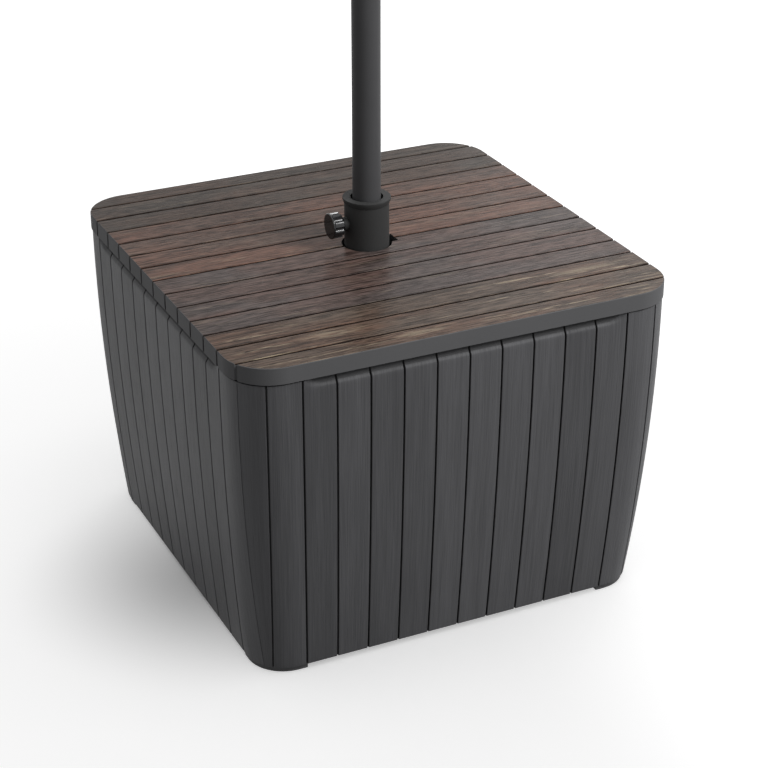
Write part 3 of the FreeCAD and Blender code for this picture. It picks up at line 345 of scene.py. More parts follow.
def cut_across(mesh, axis, places):
    """Cut a mesh right through at places along one axis."""
    normal = Vector((axis == "x", axis == "y", axis == "z"))
    for place in places:
        bmesh.ops.bisect_plane(mesh, geom=mesh.verts[:] + mesh.edges[:] + mesh.faces[:],
                               plane_co=normal * place, plane_no=normal, dist=TOUCH)


def pull_out(mesh, faces):
    """Extrude faces as one skin, leave none of the old ones inside, and return the new points."""
    pulled = bmesh.ops.extrude_face_region(mesh, geom=faces)
    bmesh.ops.delete(mesh, geom=faces, context="FACES")
    return [item for item in pulled["geom"] if isinstance(item, bmesh.types.BMVert)]


def soften(mesh, edges, offset, steps=EDGE_STEPS):
    """Round off edges, from an offset either side of them."""
    bmesh.ops.bevel(mesh, geom=edges, affect="EDGES", offset=offset, segments=steps, profile=0.5,
                    material=-1)


def shape_object(name, mesh, materials):
    """Make an object of a finished bmesh, smooth but for its hard edges."""
    data = bpy.data.meshes.new(name)
    mesh.to_mesh(data)
    mesh.free()
    for material in materials:
        data.materials.append(material)
    data.shade_smooth()
    data.set_sharp_from_angle(angle=SHARP_TURN)
    piece = bpy.data.objects.new(name, data)
    bpy.context.scene.collection.objects.link(piece)
    weighted = piece.modifiers.new("even_shading", "WEIGHTED_NORMAL")
    weighted.keep_sharp = True
    return piece


def stand_for(piece, node, body):
    """Show a piece in place of a packed one, on its body and with its finish."""
    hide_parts(node)
    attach(piece, body)


def wall_panel(node, boards, turn, materials):
    """Raise the boards from a backing sheet, soften their edges, add the ledge and bend the whole."""
    backing = WALL_THICK - GROOVE_DEEP
    panel = new_block(Vector((2 * boards * PLANK_PITCH, backing, WALL_TOP - WALL_FOOT)),
                      Vector((0, GROOVE_DEEP + backing / 2, (WALL_TOP + WALL_FOOT) / 2)))
    widths = {row: SEAM_WIDE if abs(row) == FRONT_BOARDS < boards else GROOVE_WIDE
              for row in range(-boards, boards + 1)}
    sides = [row * PLANK_PITCH + side * wide / 2 for row, wide in widths.items() for side in (-1, 1)]
    cut_across(panel, "x", [side for side in sides if abs(side) < boards * PLANK_PITCH])

    def is_board(face):
        row = face.calc_center_median().x / PLANK_PITCH
        off_line = abs(row - round(row)) * PLANK_PITCH
        return face.normal.y < -FACING and off_line > widths[round(row)] / 2

    def is_board_edge(edge):
        if len(edge.link_faces) != 2 or any(vert.co.y >= TOUCH for vert in edge.verts):
            return False
        return abs(edge.link_faces[0].normal.dot(edge.link_faces[1].normal)) < SQUARE

    fronts = [face for face in panel.faces if is_board(face)]
    bmesh.ops.translate(panel, verts=pull_out(panel, fronts), vec=(0, -GROOVE_DEEP, 0))
    soften(panel, [edge for edge in panel.edges if is_board_edge(edge)], SOFT_EDGE)
    cut_across(panel, "z", [WALL_TOP - LEDGE_HIGH])
    backs = [face for face in panel.faces
             if face.normal.y > FACING and face.calc_center_median().z > WALL_TOP - LEDGE_HIGH]
    bmesh.ops.translate(panel, verts=pull_out(panel, backs), vec=(0, LEDGE_WIDE - WALL_THICK, 0))

    bow_high = WALL_TOP - LEDGE_HIGH - WALL_FOOT
    cut_across(panel, "z", [WALL_TOP - drop for drop in SCOOP_CUTS])
    cut_across(panel, "z", [WALL_FOOT + bow_high * step / BOW_STEPS for step in range(1, BOW_STEPS)])
    for row in range(-boards, boards):
        cut_across(panel, "x", [(row + step / BOARD_STEPS) * PLANK_PITCH for step in range(1, BOARD_STEPS)])
    for side in (-1, 1):
        cut_across(panel, "x", [side * (SCOOP_HALF + SCOOP_FADE * step / FADE_STEPS)
                                for step in range(FADE_STEPS + 1)])

    grain_map = panel.loops.layers.uv.new("boards")
    for face in panel.faces:
        centre = face.calc_center_median()
        if centre.y > GROOVE_DEEP + HAIR:
            face.material_index = INNER_FACE
        # Painted shade: groove faces take a near-black grey.
        elif centre.y > SOFT_EDGE + HAIR:
            face.material_index = GROOVE_FACE
        # Painted shade: deep in the scoops the faces take a darker, duller grey.
        elif scoop_depth(centre.x, WALL_TOP - centre.z) > SHADED_SCOOP_DEPTH:
            face.material_index = SHADED_SCOOP_FACE
        else:
            face.material_index = BOARD_FACE
        for loop in face.loops:
            loop[grain_map].uv = (loop.vert.co.x, loop.vert.co.z)
    for vert in panel.verts:
        vert.co = Matrix.Rotation(turn, 3, "Z") @ bow(vert.co)
    bmesh.ops.recalc_face_normals(panel, faces=panel.faces)
    stand_for(shape_object(f"{node}_boards", panel, materials), node, "base")


WALL_GREY = (0.061, 0.061, 0.0641)
# Painted shade: the grooves between the boards are coloured far darker than the boards.
GROOVE_SHADE_GREY = (0.018, 0.018, 0.0187)
SHADED_SCOOP_GREY = (0.048, 0.048, 0.0495)
# Painted shade: the share of the boards' colour left at the head of the scoops.
SCOOP_SHADE = 0.45
SHADE_FULL = SCOOP_HIGH / 4
BOARD_SHIFT = 3.0
FIBRE_SWAY = 5
FIBRE_RELIEF, BAND_RELIEF, PORE_RELIEF = 0.75, 0.25, 0.5
FIBRE_TONE, BAND_TONE, BOARD_TONE = 0.5, 0.3, 0.2
BOARD_SPREAD = 0.32
BOARD_ROUGH, FIBRE_ROUGH, PORE_ROUGH = 0.42, 0.22, 0.1
BOARD_GLOSS = 0.19
EMBOSS_DEEP, EMBOSS_STRENGTH = 0.0006, 0.55


def by_row(distance):
    """Number of the board or plank at a distance across them, and a value by chance for each one."""
    row = (distance / PLANK_PITCH).maths("FLOOR")
    return row, row.node("TexWhiteNoise", {"noise_dimensions": "1D"}, {"W": row + 0.5})


def embossed_boards(place):
    """Anthracite resin with a wood grain pressed in along each board, a little different on every one,
    and darker towards the head in the scoops: painted shade under the top."""
    across = place.part("X")
    chance = by_row(across)[1]
    along = place.part("Y") + chance * BOARD_SHIFT

    def grain(waves_across, waves_along, seed, detail, sway=0):
        """Noise drawn out along the boards: its waves to a metre each way, and another draw for each."""
        spot = place.node("CombineXYZ", {}, {"X": across * waves_across + sway, "Y": along * waves_along,
                                             "Z": chance * seed})
        return spot.noise(1, detail)

    wander = grain(waves_across=9, waves_along=2.2, seed=5, detail=2)
    fibre = grain(waves_across=620, waves_along=11, seed=40, detail=3, sway=wander * FIBRE_SWAY)
    pores = grain(waves_across=1500, waves_along=26, seed=9, detail=1).ramp(low=0.58, high=0.72)
    band = grain(waves_across=60, waves_along=3, seed=5, detail=2)
    relief = fibre * FIBRE_RELIEF + band * BAND_RELIEF - pores * PORE_RELIEF
    tone = (fibre * FIBRE_TONE + band * BAND_TONE + chance * BOARD_TONE).ramp(low=0.25, high=0.8)
    colour = tone.mix(*shades(WALL_GREY, BOARD_SPREAD))
    # Painted shade: the boards darken towards their head inside the scoops, where the top shades them.
    shade_by_height = place.part("Y").ramp(WALL_TOP - SCOOP_HIGH, WALL_TOP - SHADE_FULL)
    scoop_shade = shade_by_height * (1 - across.maths("ABSOLUTE").ramp(SCOOP_HALF, SCOOP_HALF + SCOOP_FADE))
    return {"Base Color": colour.tinted(scoop_shade.mix((1, 1, 1), (SCOOP_SHADE, ) * 3)),
            "Roughness": BOARD_ROUGH + fibre * FIBRE_ROUGH + pores * PORE_ROUGH,
            "Specular IOR Level": BOARD_GLOSS,
            "Normal": relief.bump(EMBOSS_DEEP, EMBOSS_STRENGTH)}


board_grey = finish("wall_boards", embossed_boards, "UV")
groove_shade_grey = finish("wall_grooves_painted_shade", matt_resin(GROOVE_SHADE_GREY, gloss=0.1))
# Darker, duller grey for the deep scoop faces: painted shade under the top.
shaded_scoop_grey = finish("wall_scoops_painted_shade", matt_resin(SHADED_SCOOP_GREY, gloss=0.05))
wall_turns = {"wall_front": 0, "wall_right": 90, "wall_back": 180, "wall_left": 270}
for wall, degrees in wall_turns.items():
    board_count = FRONT_BOARDS + (wall in ("wall_left", "wall_right"))
    wall_panel(wall, board_count, math.radians(degrees), (board_grey, groove_shade_grey, inner_grey, shaded_scoop_grey))


# Liner: a ribbed resin plate screwed up into the underside of the top, which closes its hollow
# and drops inside the ledge of the walls.

coat("top_liner", inner_grey)
coat("top_screws", zinc)


# Table top: one square resin moulding with soft corners, its face moulded as fourteen planks and
# printed with brown weathered wood. The grooves run on down its two end rims; the rim is plain grey.
# It lies on the walls as a loose lid.

top_low, top_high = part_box("table_top")
TOP_HALF = top_high.x
TOP_FACE = top_high.z
RIM_LOW = top_low.z
TOP_CORNER = 0.061
TOP_EDGE = 0.0009
TOP_GROOVE = 0.0036
RIM_WALL = 0.005
LINER_SINK = 0.002
HOLE_RADIUS = 0.034
NOTCH_WIDE = 0.025
NOTCH_REACH = 0.041
CHORD_SLACK = 0.0002
CORNER_STEPS = 16
ROUND_STEPS = 96
PLANK_EDGE_TURN = 0.9
RIM_FACE, PRINT_FACE, GAP_FACE = range(3)


def from_middle(point):
    """How far a point lies past the top's straight middle, across and along."""
    middle = TOP_HALF - TOP_CORNER
    return Vector((max(abs(point.x) - middle, 0), max(abs(point.y) - middle, 0), 0))


def outward(point, cuts):
    """Move a point of the core's edge out to the rim: straight along X where a groove is cut, else square
    to the rounded outline, and not at all away from the edge."""
    over = from_middle(point)
    if over.length < TOP_CORNER - GROOVE_DEEP - CHORD_SLACK:
        return point
    if min(abs(point.y - cut) for cut in cuts) < HAIR:
        reach = TOP_HALF - TOP_CORNER + math.sqrt(TOP_CORNER ** 2 - over.y ** 2)
        return Vector((math.copysign(reach, point.x), point.y, point.z))
    out = over.normalized() * GROOVE_DEEP
    return point + Vector((math.copysign(out.x, point.x), math.copysign(out.y, point.y), 0))


def plank_top():
    """Raise the planks and rims from a core, soften every edge and recess the underside for the liner."""
    half = TOP_HALF - GROOVE_DEEP
    core_face = TOP_FACE - GROOVE_DEEP
    top = new_block(Vector((2 * half, 2 * half, core_face - RIM_LOW)),
                    Vector((0, 0, (core_face + RIM_LOW) / 2)))
    uprights = [edge for edge in top.edges if abs(edge.verts[0].co.z - edge.verts[1].co.z) > HAIR]
    soften(top, uprights, TOP_CORNER - GROOVE_DEEP, CORNER_STEPS)
    lines = [row * PLANK_PITCH for row in range(-FRONT_BOARDS, FRONT_BOARDS + 1)]
    cuts = [line + side * TOP_GROOVE / 2 for line in lines for side in (-1, 1)]
    cut_across(top, "y", cuts)
    undersides = [face for face in top.faces if face.normal.z < -FACING]

    def off_line(point):
        return min(abs(point.y - line) for line in lines)

    def is_plank(face):
        return face.normal.z > -FACING and off_line(face.calc_center_median()) > TOP_GROOVE / 2

    def is_edge(edge):
        if len(edge.link_faces) != 2 or max(vert.co.z for vert in edge.verts) < RIM_LOW + HAIR:
            return False
        return edge.is_convex and edge.calc_face_angle() > PLANK_EDGE_TURN

    for vert in pull_out(top, [face for face in top.faces if is_plank(face)]):
        vert.co = outward(vert.co, cuts)
        if vert.co.z > core_face - TOUCH:
            vert.co.z = TOP_FACE
    bmesh.ops.recalc_face_normals(top, faces=top.faces)
    soften(top, [edge for edge in top.edges if is_edge(edge)], TOP_EDGE)
    bmesh.ops.inset_region(top, faces=undersides, thickness=RIM_WALL - GROOVE_DEEP, use_even_offset=True)
    lifted = {vert for face in undersides for vert in face.verts}
    bmesh.ops.translate(top, verts=list(lifted), vec=(0, 0, LINER_SINK))

    # The first and last grooves hardly show on the rim, so there they keep its colour and get no painted
    # groove shade.
    for face in top.faces:
        centre = face.calc_center_median()
        out = from_middle(centre).length
        on_last_line = abs(centre.y) > lines[-1] - TOP_GROOVE
        in_groove = off_line(centre) < TOP_GROOVE / 2 + HAIR and centre.z > RIM_LOW + HAIR
        face.material_index = RIM_FACE
        if centre.z > TOP_FACE - TOP_EDGE and out < TOP_CORNER - TOP_EDGE:
            face.material_index = PRINT_FACE
        # Painted shade: other groove faces take the nearly black groove colour.
        elif in_groove and not (on_last_line and out > TOP_CORNER - 2 * GROOVE_DEEP):
            face.material_index = GAP_FACE
    return top


def stem_hole():
    """Closed round block for the hole that the stem stands in."""
    hole = bmesh.new()
    bmesh.ops.create_cone(hole, cap_ends=True, segments=ROUND_STEPS, radius1=HOLE_RADIUS,
                          radius2=HOLE_RADIUS, depth=2 * (TOP_FACE - RIM_LOW))
    bmesh.ops.translate(hole, verts=hole.verts, vec=(0, 0, TOP_FACE))
    return shape_object("hole_block", hole, ())


def notch():
    """Closed block of the notch beside that hole."""
    block = new_block(Vector((NOTCH_REACH, NOTCH_WIDE, 2 * (TOP_FACE - RIM_LOW))),
                      Vector((NOTCH_REACH / 2, 0, TOP_FACE)))
    return shape_object("notch_block", block, ())


def cut_by(piece, cutter):
    """Cut one closed piece out of another."""
    boolean = piece.modifiers.new("hole", "BOOLEAN")
    boolean.object = cutter
    boolean.solver = "EXACT"
    bpy.context.view_layer.update()
    evaluated = piece.evaluated_get(bpy.context.evaluated_depsgraph_get())
    data = bpy.data.meshes.new_from_object(evaluated)
    piece.modifiers.remove(boolean)
    data.set_sharp_from_angle(angle=SHARP_TURN)
    piece.data = data
    bpy.data.objects.remove(cutter)


# The print's planks come in four groups from front to back, each with its colour and share of streaks.
PLANKS = 2 * (FRONT_BOARDS + 1)
GROUP_STARTS = (0, 3, 7, 11)
GROUP_COLOURS = ((0.065, 0.043, 0.032), (0.062, 0.0445, 0.040),
                 (0.079, 0.046, 0.035), (0.047, 0.034, 0.0275))
GROUP_STREAKS = (1.0, 0.25, 0.35, 0.15)
REDDER = (1.08, 0.99, 0.95)
GREYER = (0.92, 1.01, 1.05)
PRINT_SHADES = ((0.30, 0.28, 0.27), (1.70, 1.70, 1.70))
BLEACHED = (0.29, 0.235, 0.165)
PORE_BROWN = (0.024, 0.016, 0.013)
# Painted shade: the grooves between the printed planks are coloured nearly black.
PLANK_GROOVE_SHADE = (0.010, 0.008, 0.007)
RIM_GREY = (0.085, 0.085, 0.0875)

# Each knot's place along and across the planks, half length and half width.
KNOTS = ((-0.158, -0.240, 0.055, 0.014), (0.215, -0.205, 0.060, 0.010), (-0.06, -0.285, 0.045, 0.008))

PLANK_SHIFT = 9.0
PLANK_DRAW = 31
SWAY_ALONG, SWAY_ACROSS, SWAY_DRAW = 4, 24, 20
FIBRE_SHARE, DASH_SHARE, FIGURE_SHARE = 0.38, 0.46, 0.16
LINE_THIN = 24
BLEACH_SHARE, KNOT_SHARE, PORE_SHARE = 0.75, 0.6, 0.45
PRINT_ROUGH, PRINT_FIBRE_ROUGH, PRINT_PORE_ROUGH = 0.22, 0.12, 0.12
PRINT_GLOSS = 0.07
FIBRE_RISE, DASH_RISE, PORE_SINK = 0.5, 0.3, 0.6
PRINT_DEEP, PRINT_STRENGTH = 0.0004, 0.4


def printed_planks(place):
    """Brown wood print on the face: four tones of plank, fine fibres, bleached lines, knots, dark pores."""
    x, y = place.part("X"), place.part("Y")
    row, chance = by_row(y)
    share = (row + (PLANKS + 1) / 2) / PLANKS
    along = x + chance * PLANK_SHIFT
    wander = place.node("CombineXYZ", {}, {"X": along * SWAY_ALONG, "Y": y * SWAY_ACROSS,
                                           "Z": chance * SWAY_DRAW}).noise(1, detail=2)

    def by_group(colours):
        """The colour of each plank's group."""
        stops = [(start / PLANKS, colour) for start, colour in zip(GROUP_STARTS, colours)]
        return share.node("ValToRGB", {"blending": "CONSTANT", "stops": stops}, {0: share})

    def grain(length, width, sway, seed, detail):
        """Noise drawn out along the planks, in waves of the fibres' sway."""
        drawn = place.node("CombineXYZ", {}, {"X": along / length, "Y": y / width + wander * sway,
                                              "Z": chance * PLANK_DRAW + seed})
        return drawn.noise(1, detail)

    fibre = grain(length=0.09, width=0.0022, sway=4, seed=1, detail=3)
    dashes = grain(length=0.019, width=0.0021, sway=2, seed=8, detail=2)
    figure = grain(length=0.40, width=0.0095, sway=2, seed=2, detail=2)
    drift = grain(length=0.16, width=0.06, sway=0.5, seed=3, detail=2).ramp(low=0.40, high=0.62)
    tone = (fibre * FIBRE_SHARE + dashes * DASH_SHARE + figure * FIGURE_SHARE).ramp(low=0.36, high=0.64)
    colour = by_group(GROUP_COLOURS).tinted(drift.mix(REDDER, GREYER)).tinted(tone.mix(*PRINT_SHADES))

    ridges = grain(length=0.55, width=0.010, sway=2, seed=4, detail=1)
    lines = 1 - ((ridges - 0.5).maths("ABSOLUTE") * LINE_THIN).ramp(low=0.0, high=1.0)
    clusters = grain(length=0.09, width=0.012, sway=1, seed=5, detail=2).ramp(low=0.47, high=0.60)
    streaks = lines * clusters * dashes.ramp(low=0.35, high=0.55)
    streaky = by_group([(streak, ) * 3 for streak in GROUP_STREAKS]).part("X")
    knot = None
    for knot_x, knot_y, half_long, half_wide in KNOTS:
        reach_x = (x - knot_x) / half_long
        reach_y = (y - knot_y) / half_wide
        near = 1 - (reach_x * reach_x + reach_y * reach_y).ramp(low=0.0, high=1.0)
        knot = near if knot is None else knot.maths("MAXIMUM", near)
    knot = knot * grain(length=0.03, width=0.0032, sway=3, seed=6, detail=4).ramp(low=0.38, high=0.58)
    bleach = (streaks * streaky).maths("MAXIMUM", knot * KNOT_SHARE)
    colour = (bleach * BLEACH_SHARE).mix(colour, BLEACHED)
    pores = grain(length=0.03, width=0.0013, sway=3, seed=7, detail=1).ramp(low=0.58, high=0.72)
    relief = fibre * FIBRE_RISE + dashes * DASH_RISE - pores * PORE_SINK
    return {"Base Color": (pores * PORE_SHARE).mix(colour, PORE_BROWN),
            "Roughness": PRINT_ROUGH + fibre * PRINT_FIBRE_ROUGH + pores * PRINT_PORE_ROUGH,
            "Specular IOR Level": PRINT_GLOSS,
            "Normal": relief.bump(PRINT_DEEP, PRINT_STRENGTH)}


rim_grey = finish("grey_rim", matt_resin(RIM_GREY, spread=0.12, gloss=0.055))
top_print = finish("wood_look", printed_planks)
plank_groove_shade = finish("plank_grooves_painted_shade", matt_resin(PLANK_GROOVE_SHADE, gloss=0.02))
top_piece = shape_object("table_top_planks", plank_top(), (rim_grey, top_print, plank_groove_shade))
cut_by(top_piece, stem_hole())
cut_by(top_piece, notch())
stand_for(top_piece, "table_top", "top")


# Stem: a steel sleeve that stands in the socket, with a plug in its foot and two black bushes that
# centre the mast. Cut from drawn tube and powder coated like the socket.

STEM_WALL = 0.002
TUBE_SOFT = 0.0003
TURNED_EDGE_TURN = 0.4


def turned(outline, soft):
    """Spin an outline of radius and height points about the upright axis and soften its edges. One that
    starts on the axis is open, any other is closed."""
    piece = bmesh.new()
    points = [piece.verts.new((radius, 0, height)) for radius, height in outline]
    closing = points[:1] if outline[0][0] > 0 else []
    edges = [piece.edges.new(pair) for pair in zip(points, points[1:] + closing)]
    bmesh.ops.spin(piece, geom=points + edges, cent=(0, 0, 0), axis=(0, 0, 1), angle=2 * math.pi,
                   steps=ROUND_STEPS, use_merge=True)
    bmesh.ops.remove_doubles(piece, verts=piece.verts, dist=TOUCH)
    bmesh.ops.recalc_face_normals(piece, faces=piece.faces)
    soften(piece, [edge for edge in piece.edges
                   if len(edge.link_faces) == 2 and edge.calc_face_angle() > TURNED_EDGE_TURN], soft)
    return piece


def tube_outline(node, wall):
    """Section of a packed tube of a given wall."""
    low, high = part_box(node)
    outer = high.y
    return [(outer - wall, low.z), (outer, low.z), (outer, high.z), (outer - wall, high.z)]


stem = turned(tube_outline("stem_tube", STEM_WALL), TUBE_SOFT)
stand_for(shape_object("stem_sleeve", stem, (coated_steel, )), "stem_tube", "stem")
for bush in ("stem_plug", "mast_bush_lower", "mast_bush_upper"):
    coat(bush, cap_black)


# Collar: a satin black moulding pressed over the head of the stem, with a flared lip round its mouth and
# a boss on its left side for the clamp screw.

COLLAR_BORE = 0.02705
COLLAR_RADIUS = 0.03005
COLLAR_LIP = 0.03225
COLLAR_MOUTH = 0.022
COLLAR_SOFT = 0.00035
MOUTH_HIGH = 0.008
LIP_HIGH = 0.003
LIP_TAPER = 0.005
LIP_STEP = 0.0004
BOSS_RADIUS = 0.009
BOSS_BORE = 0.0066
BOSS_ROOT = COLLAR_BORE + 0.001
BOSS_SOFT = 0.0008
COLLAR_BLACK = (0.0305, 0.0305, 0.0305)

collar_low, collar_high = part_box("collar")
knob_low, knob_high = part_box("clamp_knob")
CLAMP_HIGH = (knob_low.z + knob_high.z) / 2
SIDEWAYS = Matrix.Translation((0, 0, CLAMP_HIGH)) @ Matrix.Rotation(-math.pi / 2, 4, "Y")


def let_in(mesh, other):
    """Add another closed form to a mesh, and free it."""
    carried = bpy.data.meshes.new("carried")
    other.to_mesh(carried)
    other.free()
    mesh.from_mesh(carried)
    bpy.data.meshes.remove(carried)


def moulded_collar():
    """Sleeve with its lip, and the boss let into its side."""
    low, high = collar_low.z, collar_high.z
    lip_foot = high - LIP_HIGH - LIP_TAPER
    boss_end = -collar_low.x
    body = turned([(COLLAR_BORE, low), (COLLAR_RADIUS, low), (COLLAR_RADIUS, lip_foot),
                   (COLLAR_RADIUS + LIP_STEP, lip_foot), (COLLAR_LIP, high - LIP_HIGH),
                   (COLLAR_LIP, high), (COLLAR_MOUTH, high), (COLLAR_MOUTH, high - MOUTH_HIGH),
                   (COLLAR_BORE, high - MOUTH_HIGH)], COLLAR_SOFT)
    boss = turned([(BOSS_BORE, BOSS_ROOT), (BOSS_RADIUS, BOSS_ROOT), (BOSS_RADIUS, boss_end),
                   (BOSS_BORE, boss_end)], BOSS_SOFT)
    boss.transform(SIDEWAYS)
    let_in(body, boss)
    return body


collar_black = finish("collar_moulding", matt_resin(COLLAR_BLACK, spread=0.2, gloss=0.15))
collar = shape_object("collar_moulding", moulded_collar(), (collar_black, ))
stand_for(collar, "collar", "stem")


# Clamp: a gloss black star knob with a smooth disc on its face, on a zinc-plated screw that turns
# in a brass insert and presses a rubber pad against the mast.

KNOB_RADIUS = 0.017
KNOB_NECK = 0.003
NECK_RADIUS = 0.008
NECK_SOFT = 0.0003
LOBES = 8
HOLLOW_RADIUS = 0.0036
HOLLOW_DEEP = 0.0028
KNOB_STEPS = 240
KNOB_SOFT = 0.0008
FACE_SOFT = 0.0011
KNOB_SHADES = ((0.010, 0.010, 0.011), (0.016, 0.016, 0.017))
HAIRLINES = 600
HAIRLINE_STRETCH = (1, 1, 0.15)
KNOB_ROUGH, RUB_ROUGH = 0.12, 0.10
BRASS_SHADES = ((0.55, 0.38, 0.14), (0.72, 0.52, 0.22))
BRASS_RINGS = (3000, 60, 60)
BRASS_ROUGH, RING_ROUGH = 0.25, 0.2


def gloss_black(place):
    """Polished black moulding with a few faint hairlines."""
    rub = place.stretched(*HAIRLINE_STRETCH).noise(HAIRLINES, detail=2)
    return {"Base Color": rub.mix(*KNOB_SHADES),
            "Roughness": KNOB_ROUGH + rub * RUB_ROUGH}


def turned_brass(place):
    """Turned brass with fine rings round the screw's axis."""
    ring = place.stretched(*BRASS_RINGS).noise(1, detail=1)
    return {"Base Color": ring.mix(*BRASS_SHADES),
            "Metallic": 1.0,
            "Roughness": BRASS_ROUGH + ring * RING_ROUGH}


def star_knob():
    """Round plate drawn in to eight hollows, thickened, softened and set on its neck."""
    knob = bmesh.new()
    bmesh.ops.create_circle(knob, cap_ends=True, segments=KNOB_STEPS, radius=KNOB_RADIUS)
    middle = KNOB_RADIUS + HOLLOW_RADIUS - HOLLOW_DEEP
    for vert in knob.verts:
        share = math.atan2(vert.co.y, vert.co.x) / (2 * math.pi) * LOBES
        off = (share - round(share)) * 2 * math.pi / LOBES
        left = HOLLOW_RADIUS ** 2 - (middle * math.sin(off)) ** 2
        if left > 0:
            vert.co *= min((middle * math.cos(off) - math.sqrt(left)) / KNOB_RADIUS, 1)
    foot = -knob_high.x
    start, end = foot + KNOB_NECK, -knob_low.x
    bmesh.ops.translate(knob, verts=knob.verts, vec=(0, 0, start))
    raised = bmesh.ops.extrude_face_region(knob, geom=knob.faces[:])
    points = [item for item in raised["geom"] if isinstance(item, bmesh.types.BMVert)]
    bmesh.ops.translate(knob, verts=points, vec=(0, 0, end - start))
    bmesh.ops.recalc_face_normals(knob, faces=knob.faces)
    rims = [edge for edge in knob.edges if abs(edge.verts[0].co.z - edge.verts[1].co.z) < TOUCH]
    soften(knob, rims, KNOB_SOFT)
    neck_head = start + KNOB_SOFT
    neck = turned([(0, foot), (NECK_RADIUS, foot), (NECK_RADIUS, neck_head), (0, neck_head)], NECK_SOFT)
    let_in(knob, neck)
    knob.transform(SIDEWAYS)
    return knob


def knob_disc():
    """Smooth disc pressed on the knob's outer end."""
    low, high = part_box("knob_face")
    disc = turned([(0, -high.x), (high.y, -high.x), (high.y, -low.x), (0, -low.x)], FACE_SOFT)
    disc.transform(SIDEWAYS)
    return disc


knob_black = finish("knob_gloss", gloss_black)
brass = finish("brass_insert", turned_brass)
stand_for(shape_object("star_knob", star_knob(), (knob_black, )), "clamp_knob", "knob")
stand_for(shape_object("knob_disc", knob_disc(), (knob_black, )), "knob_face", "knob")
coat("clamp_stud", zinc)
coat("clamp_insert", brass)
coat("clamp_pad", rubber)


# Mast: the lower length of a round steel parasol pole, powder coated satin dark grey, with a plug
# in its foot and a lined socket in its top for the next length.

MAST_WALL = 0.0016
JOINT_BORE = 0.016
JOINT_LIP = 0.002
JOINT_PLAY = 0.00005
JOINT_SOFT = 0.0004


def joint_sleeve():
    """Moulded sleeve in the mast's head, with a lip that covers the tube's edge."""
    low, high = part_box("mast_joint_liner")
    outer = high.y - MAST_WALL - JOINT_PLAY
    lip_foot = high.z - JOINT_LIP
    return turned([(JOINT_BORE, low.z), (outer, low.z), (outer, lip_foot), (high.y, lip_foot),
                   (high.y, high.z), (JOINT_BORE, high.z)], JOINT_SOFT)


mast = turned(tube_outline("mast_tube", MAST_WALL), TUBE_SOFT)
stand_for(shape_object("mast_pole", mast, (coated_steel, )), "mast_tube", "mast")
sleeve = shape_object("joint_sleeve", joint_sleeve(), (cap_black, ))
stand_for(sleeve, "mast_joint_liner", "mast")
coat("mast_foot", cap_black)


# Studio: a plain pale floor, which the camera sees as white with the table's shadow on it, an even dome
# of light and three soft lamps. The floor's glow is painted lower round the table's front left, as painted
# shadow, and higher to the right, as painted light. The key lamp, from the right front, is flagged off the
# floor. The camera stands where the picture was taken from.

FLOOR_SIZE = 40
FLOOR_PALE = 0.5
FLOOR_SHOWN = 1.0
# Glow seen only by the camera and mirrors: lowest round a point at the table's front left as a painted
# shadow, higher to the right as painted light, and rising far off to white.
PAINTED_SHADOW_GLOW = 0.06
FAR_GLOW = 0.42
PAINTED_RIGHT_LIGHT = 0.15
WIDE_GLOW = 0.30
PAINTED_SHADE_MIDDLE = (-0.27, -0.02, 0)
PAINTED_SHADE_REACH = 0.28
PAINTED_RIGHT_REACH = 0.35
WIDE_FROM, WIDE_TO = 0.6, 2.5
AMBIENT = 0.44


def seen_directly(place):
    """One for rays from the camera, a mirror or a glass, nought for the light that falls on the object."""
    camera_ray, glossy_ray, clear_ray = (place.node("LightPath", {}, {}, f"Is {kind} Ray")
                                         for kind in ("Camera", "Glossy", "Transmission"))
    return (camera_ray + glossy_ray + clear_ray).maths("MINIMUM", 1.0)


def stage_white(place):
    """Pale floor that the camera and mirrors see whiter than the light that it throws back, with a painted
    shadow where that glow is lower round the table's front left and painted light where it is higher to the
    right.
    """
    seen = seen_directly(place)
    away = place.node("VectorMath", {"operation": "DISTANCE"}, {0: place, 1: PAINTED_SHADE_MIDDLE}, "Value")
    # Painted shadow: the glow is least round a point at the table's front left.
    near = PAINTED_SHADOW_GLOW + away.ramp(0.0, PAINTED_SHADE_REACH) * (FAR_GLOW - PAINTED_SHADOW_GLOW)
    # Painted light: the glow grows to the right.
    right = place.part("X").ramp(0.0, PAINTED_RIGHT_REACH) * PAINTED_RIGHT_LIGHT
    wide = away.ramp(WIDE_FROM, WIDE_TO) * WIDE_GLOW
    return {"Base Color": seen.mix((FLOOR_PALE, ) * 3, (FLOOR_SHOWN, ) * 3),
            "Roughness": 1.0,
            "Specular IOR Level": 0.0,
            "Emission Strength": 1.0,
            "Emission Color": seen.mix((0, 0, 0), near + right + wide)}


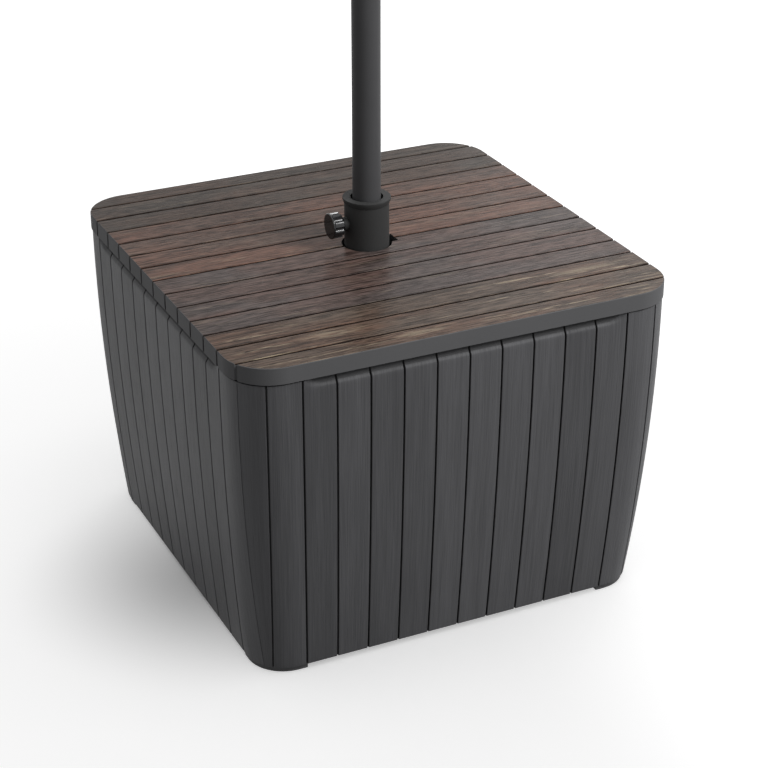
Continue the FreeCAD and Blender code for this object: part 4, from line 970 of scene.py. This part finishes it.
def softbox(name, place, aim, size, power):
    """Square lamp at a place, turned to what it lights."""
    lamp = bpy.data.lights.new(name, "AREA")
    lamp.size = size
    lamp.energy = power
    box = bpy.data.objects.new(name, lamp)
    box.location = place
    box.rotation_euler = (Vector(aim) - Vector(place)).to_track_quat("-Z", "Y").to_euler()
    bpy.context.scene.collection.objects.link(box)
    return box


floor_mesh = bmesh.new()
bmesh.ops.create_grid(floor_mesh, x_segments=1, y_segments=1, size=FLOOR_SIZE / 2)
floor = shape_object("floor", floor_mesh, (finish("stage_floor", stage_white), ))

world = bpy.data.worlds.new("studio")
bpy.context.scene.world = world
world.use_nodes = True
sky_nodes = world.node_tree
backdrop = sky_nodes.nodes["Background"]
backdrop.inputs["Color"].default_value = (1, 1, 1, 1)
sky = Value(sky_nodes.nodes.new("ShaderNodeTexCoord").outputs["Object"])
brightness = seen_directly(sky) * (1 - AMBIENT) + AMBIENT
sky_nodes.links.new(brightness.socket, backdrop.inputs["Strength"])

softbox("overhead", place=(0.2, -0.35, 4.0), aim=(0, 0, 0.2), size=2.2, power=20)
softbox("sheen", place=(2.3, 2.2, 1.6), aim=(0, 0, 0.4), size=1.8, power=9.5)
key = softbox("key", place=(1.7, -1.9, 2.6), aim=(0, 0, 0.3), size=1.4, power=125)
flagged = bpy.data.collections.new("flagged_from_key")
flagged.objects.link(floor)
flagged.collection_objects[0].light_linking.link_state = "EXCLUDE"
key.light_linking.receiver_collection = flagged

CAMERA_PLACE = (-1.0842, -2.3326, 1.5317)
CAMERA_ELEVATION = 26.7245
CAMERA_AZIMUTH = -25.442
CAMERA_LENS = 97.33
CAMERA_SENSOR = 36
camera = bpy.data.objects.new("camera", bpy.data.cameras.new("camera"))
camera.data.lens = CAMERA_LENS
camera.data.sensor_width = CAMERA_SENSOR
camera.location = CAMERA_PLACE
camera.rotation_euler = (math.radians(90 - CAMERA_ELEVATION), 0, math.radians(CAMERA_AZIMUTH))
bpy.context.scene.collection.objects.link(camera)
bpy.context.scene.camera = camera
bpy.context.scene.view_settings.view_transform = "Standard"
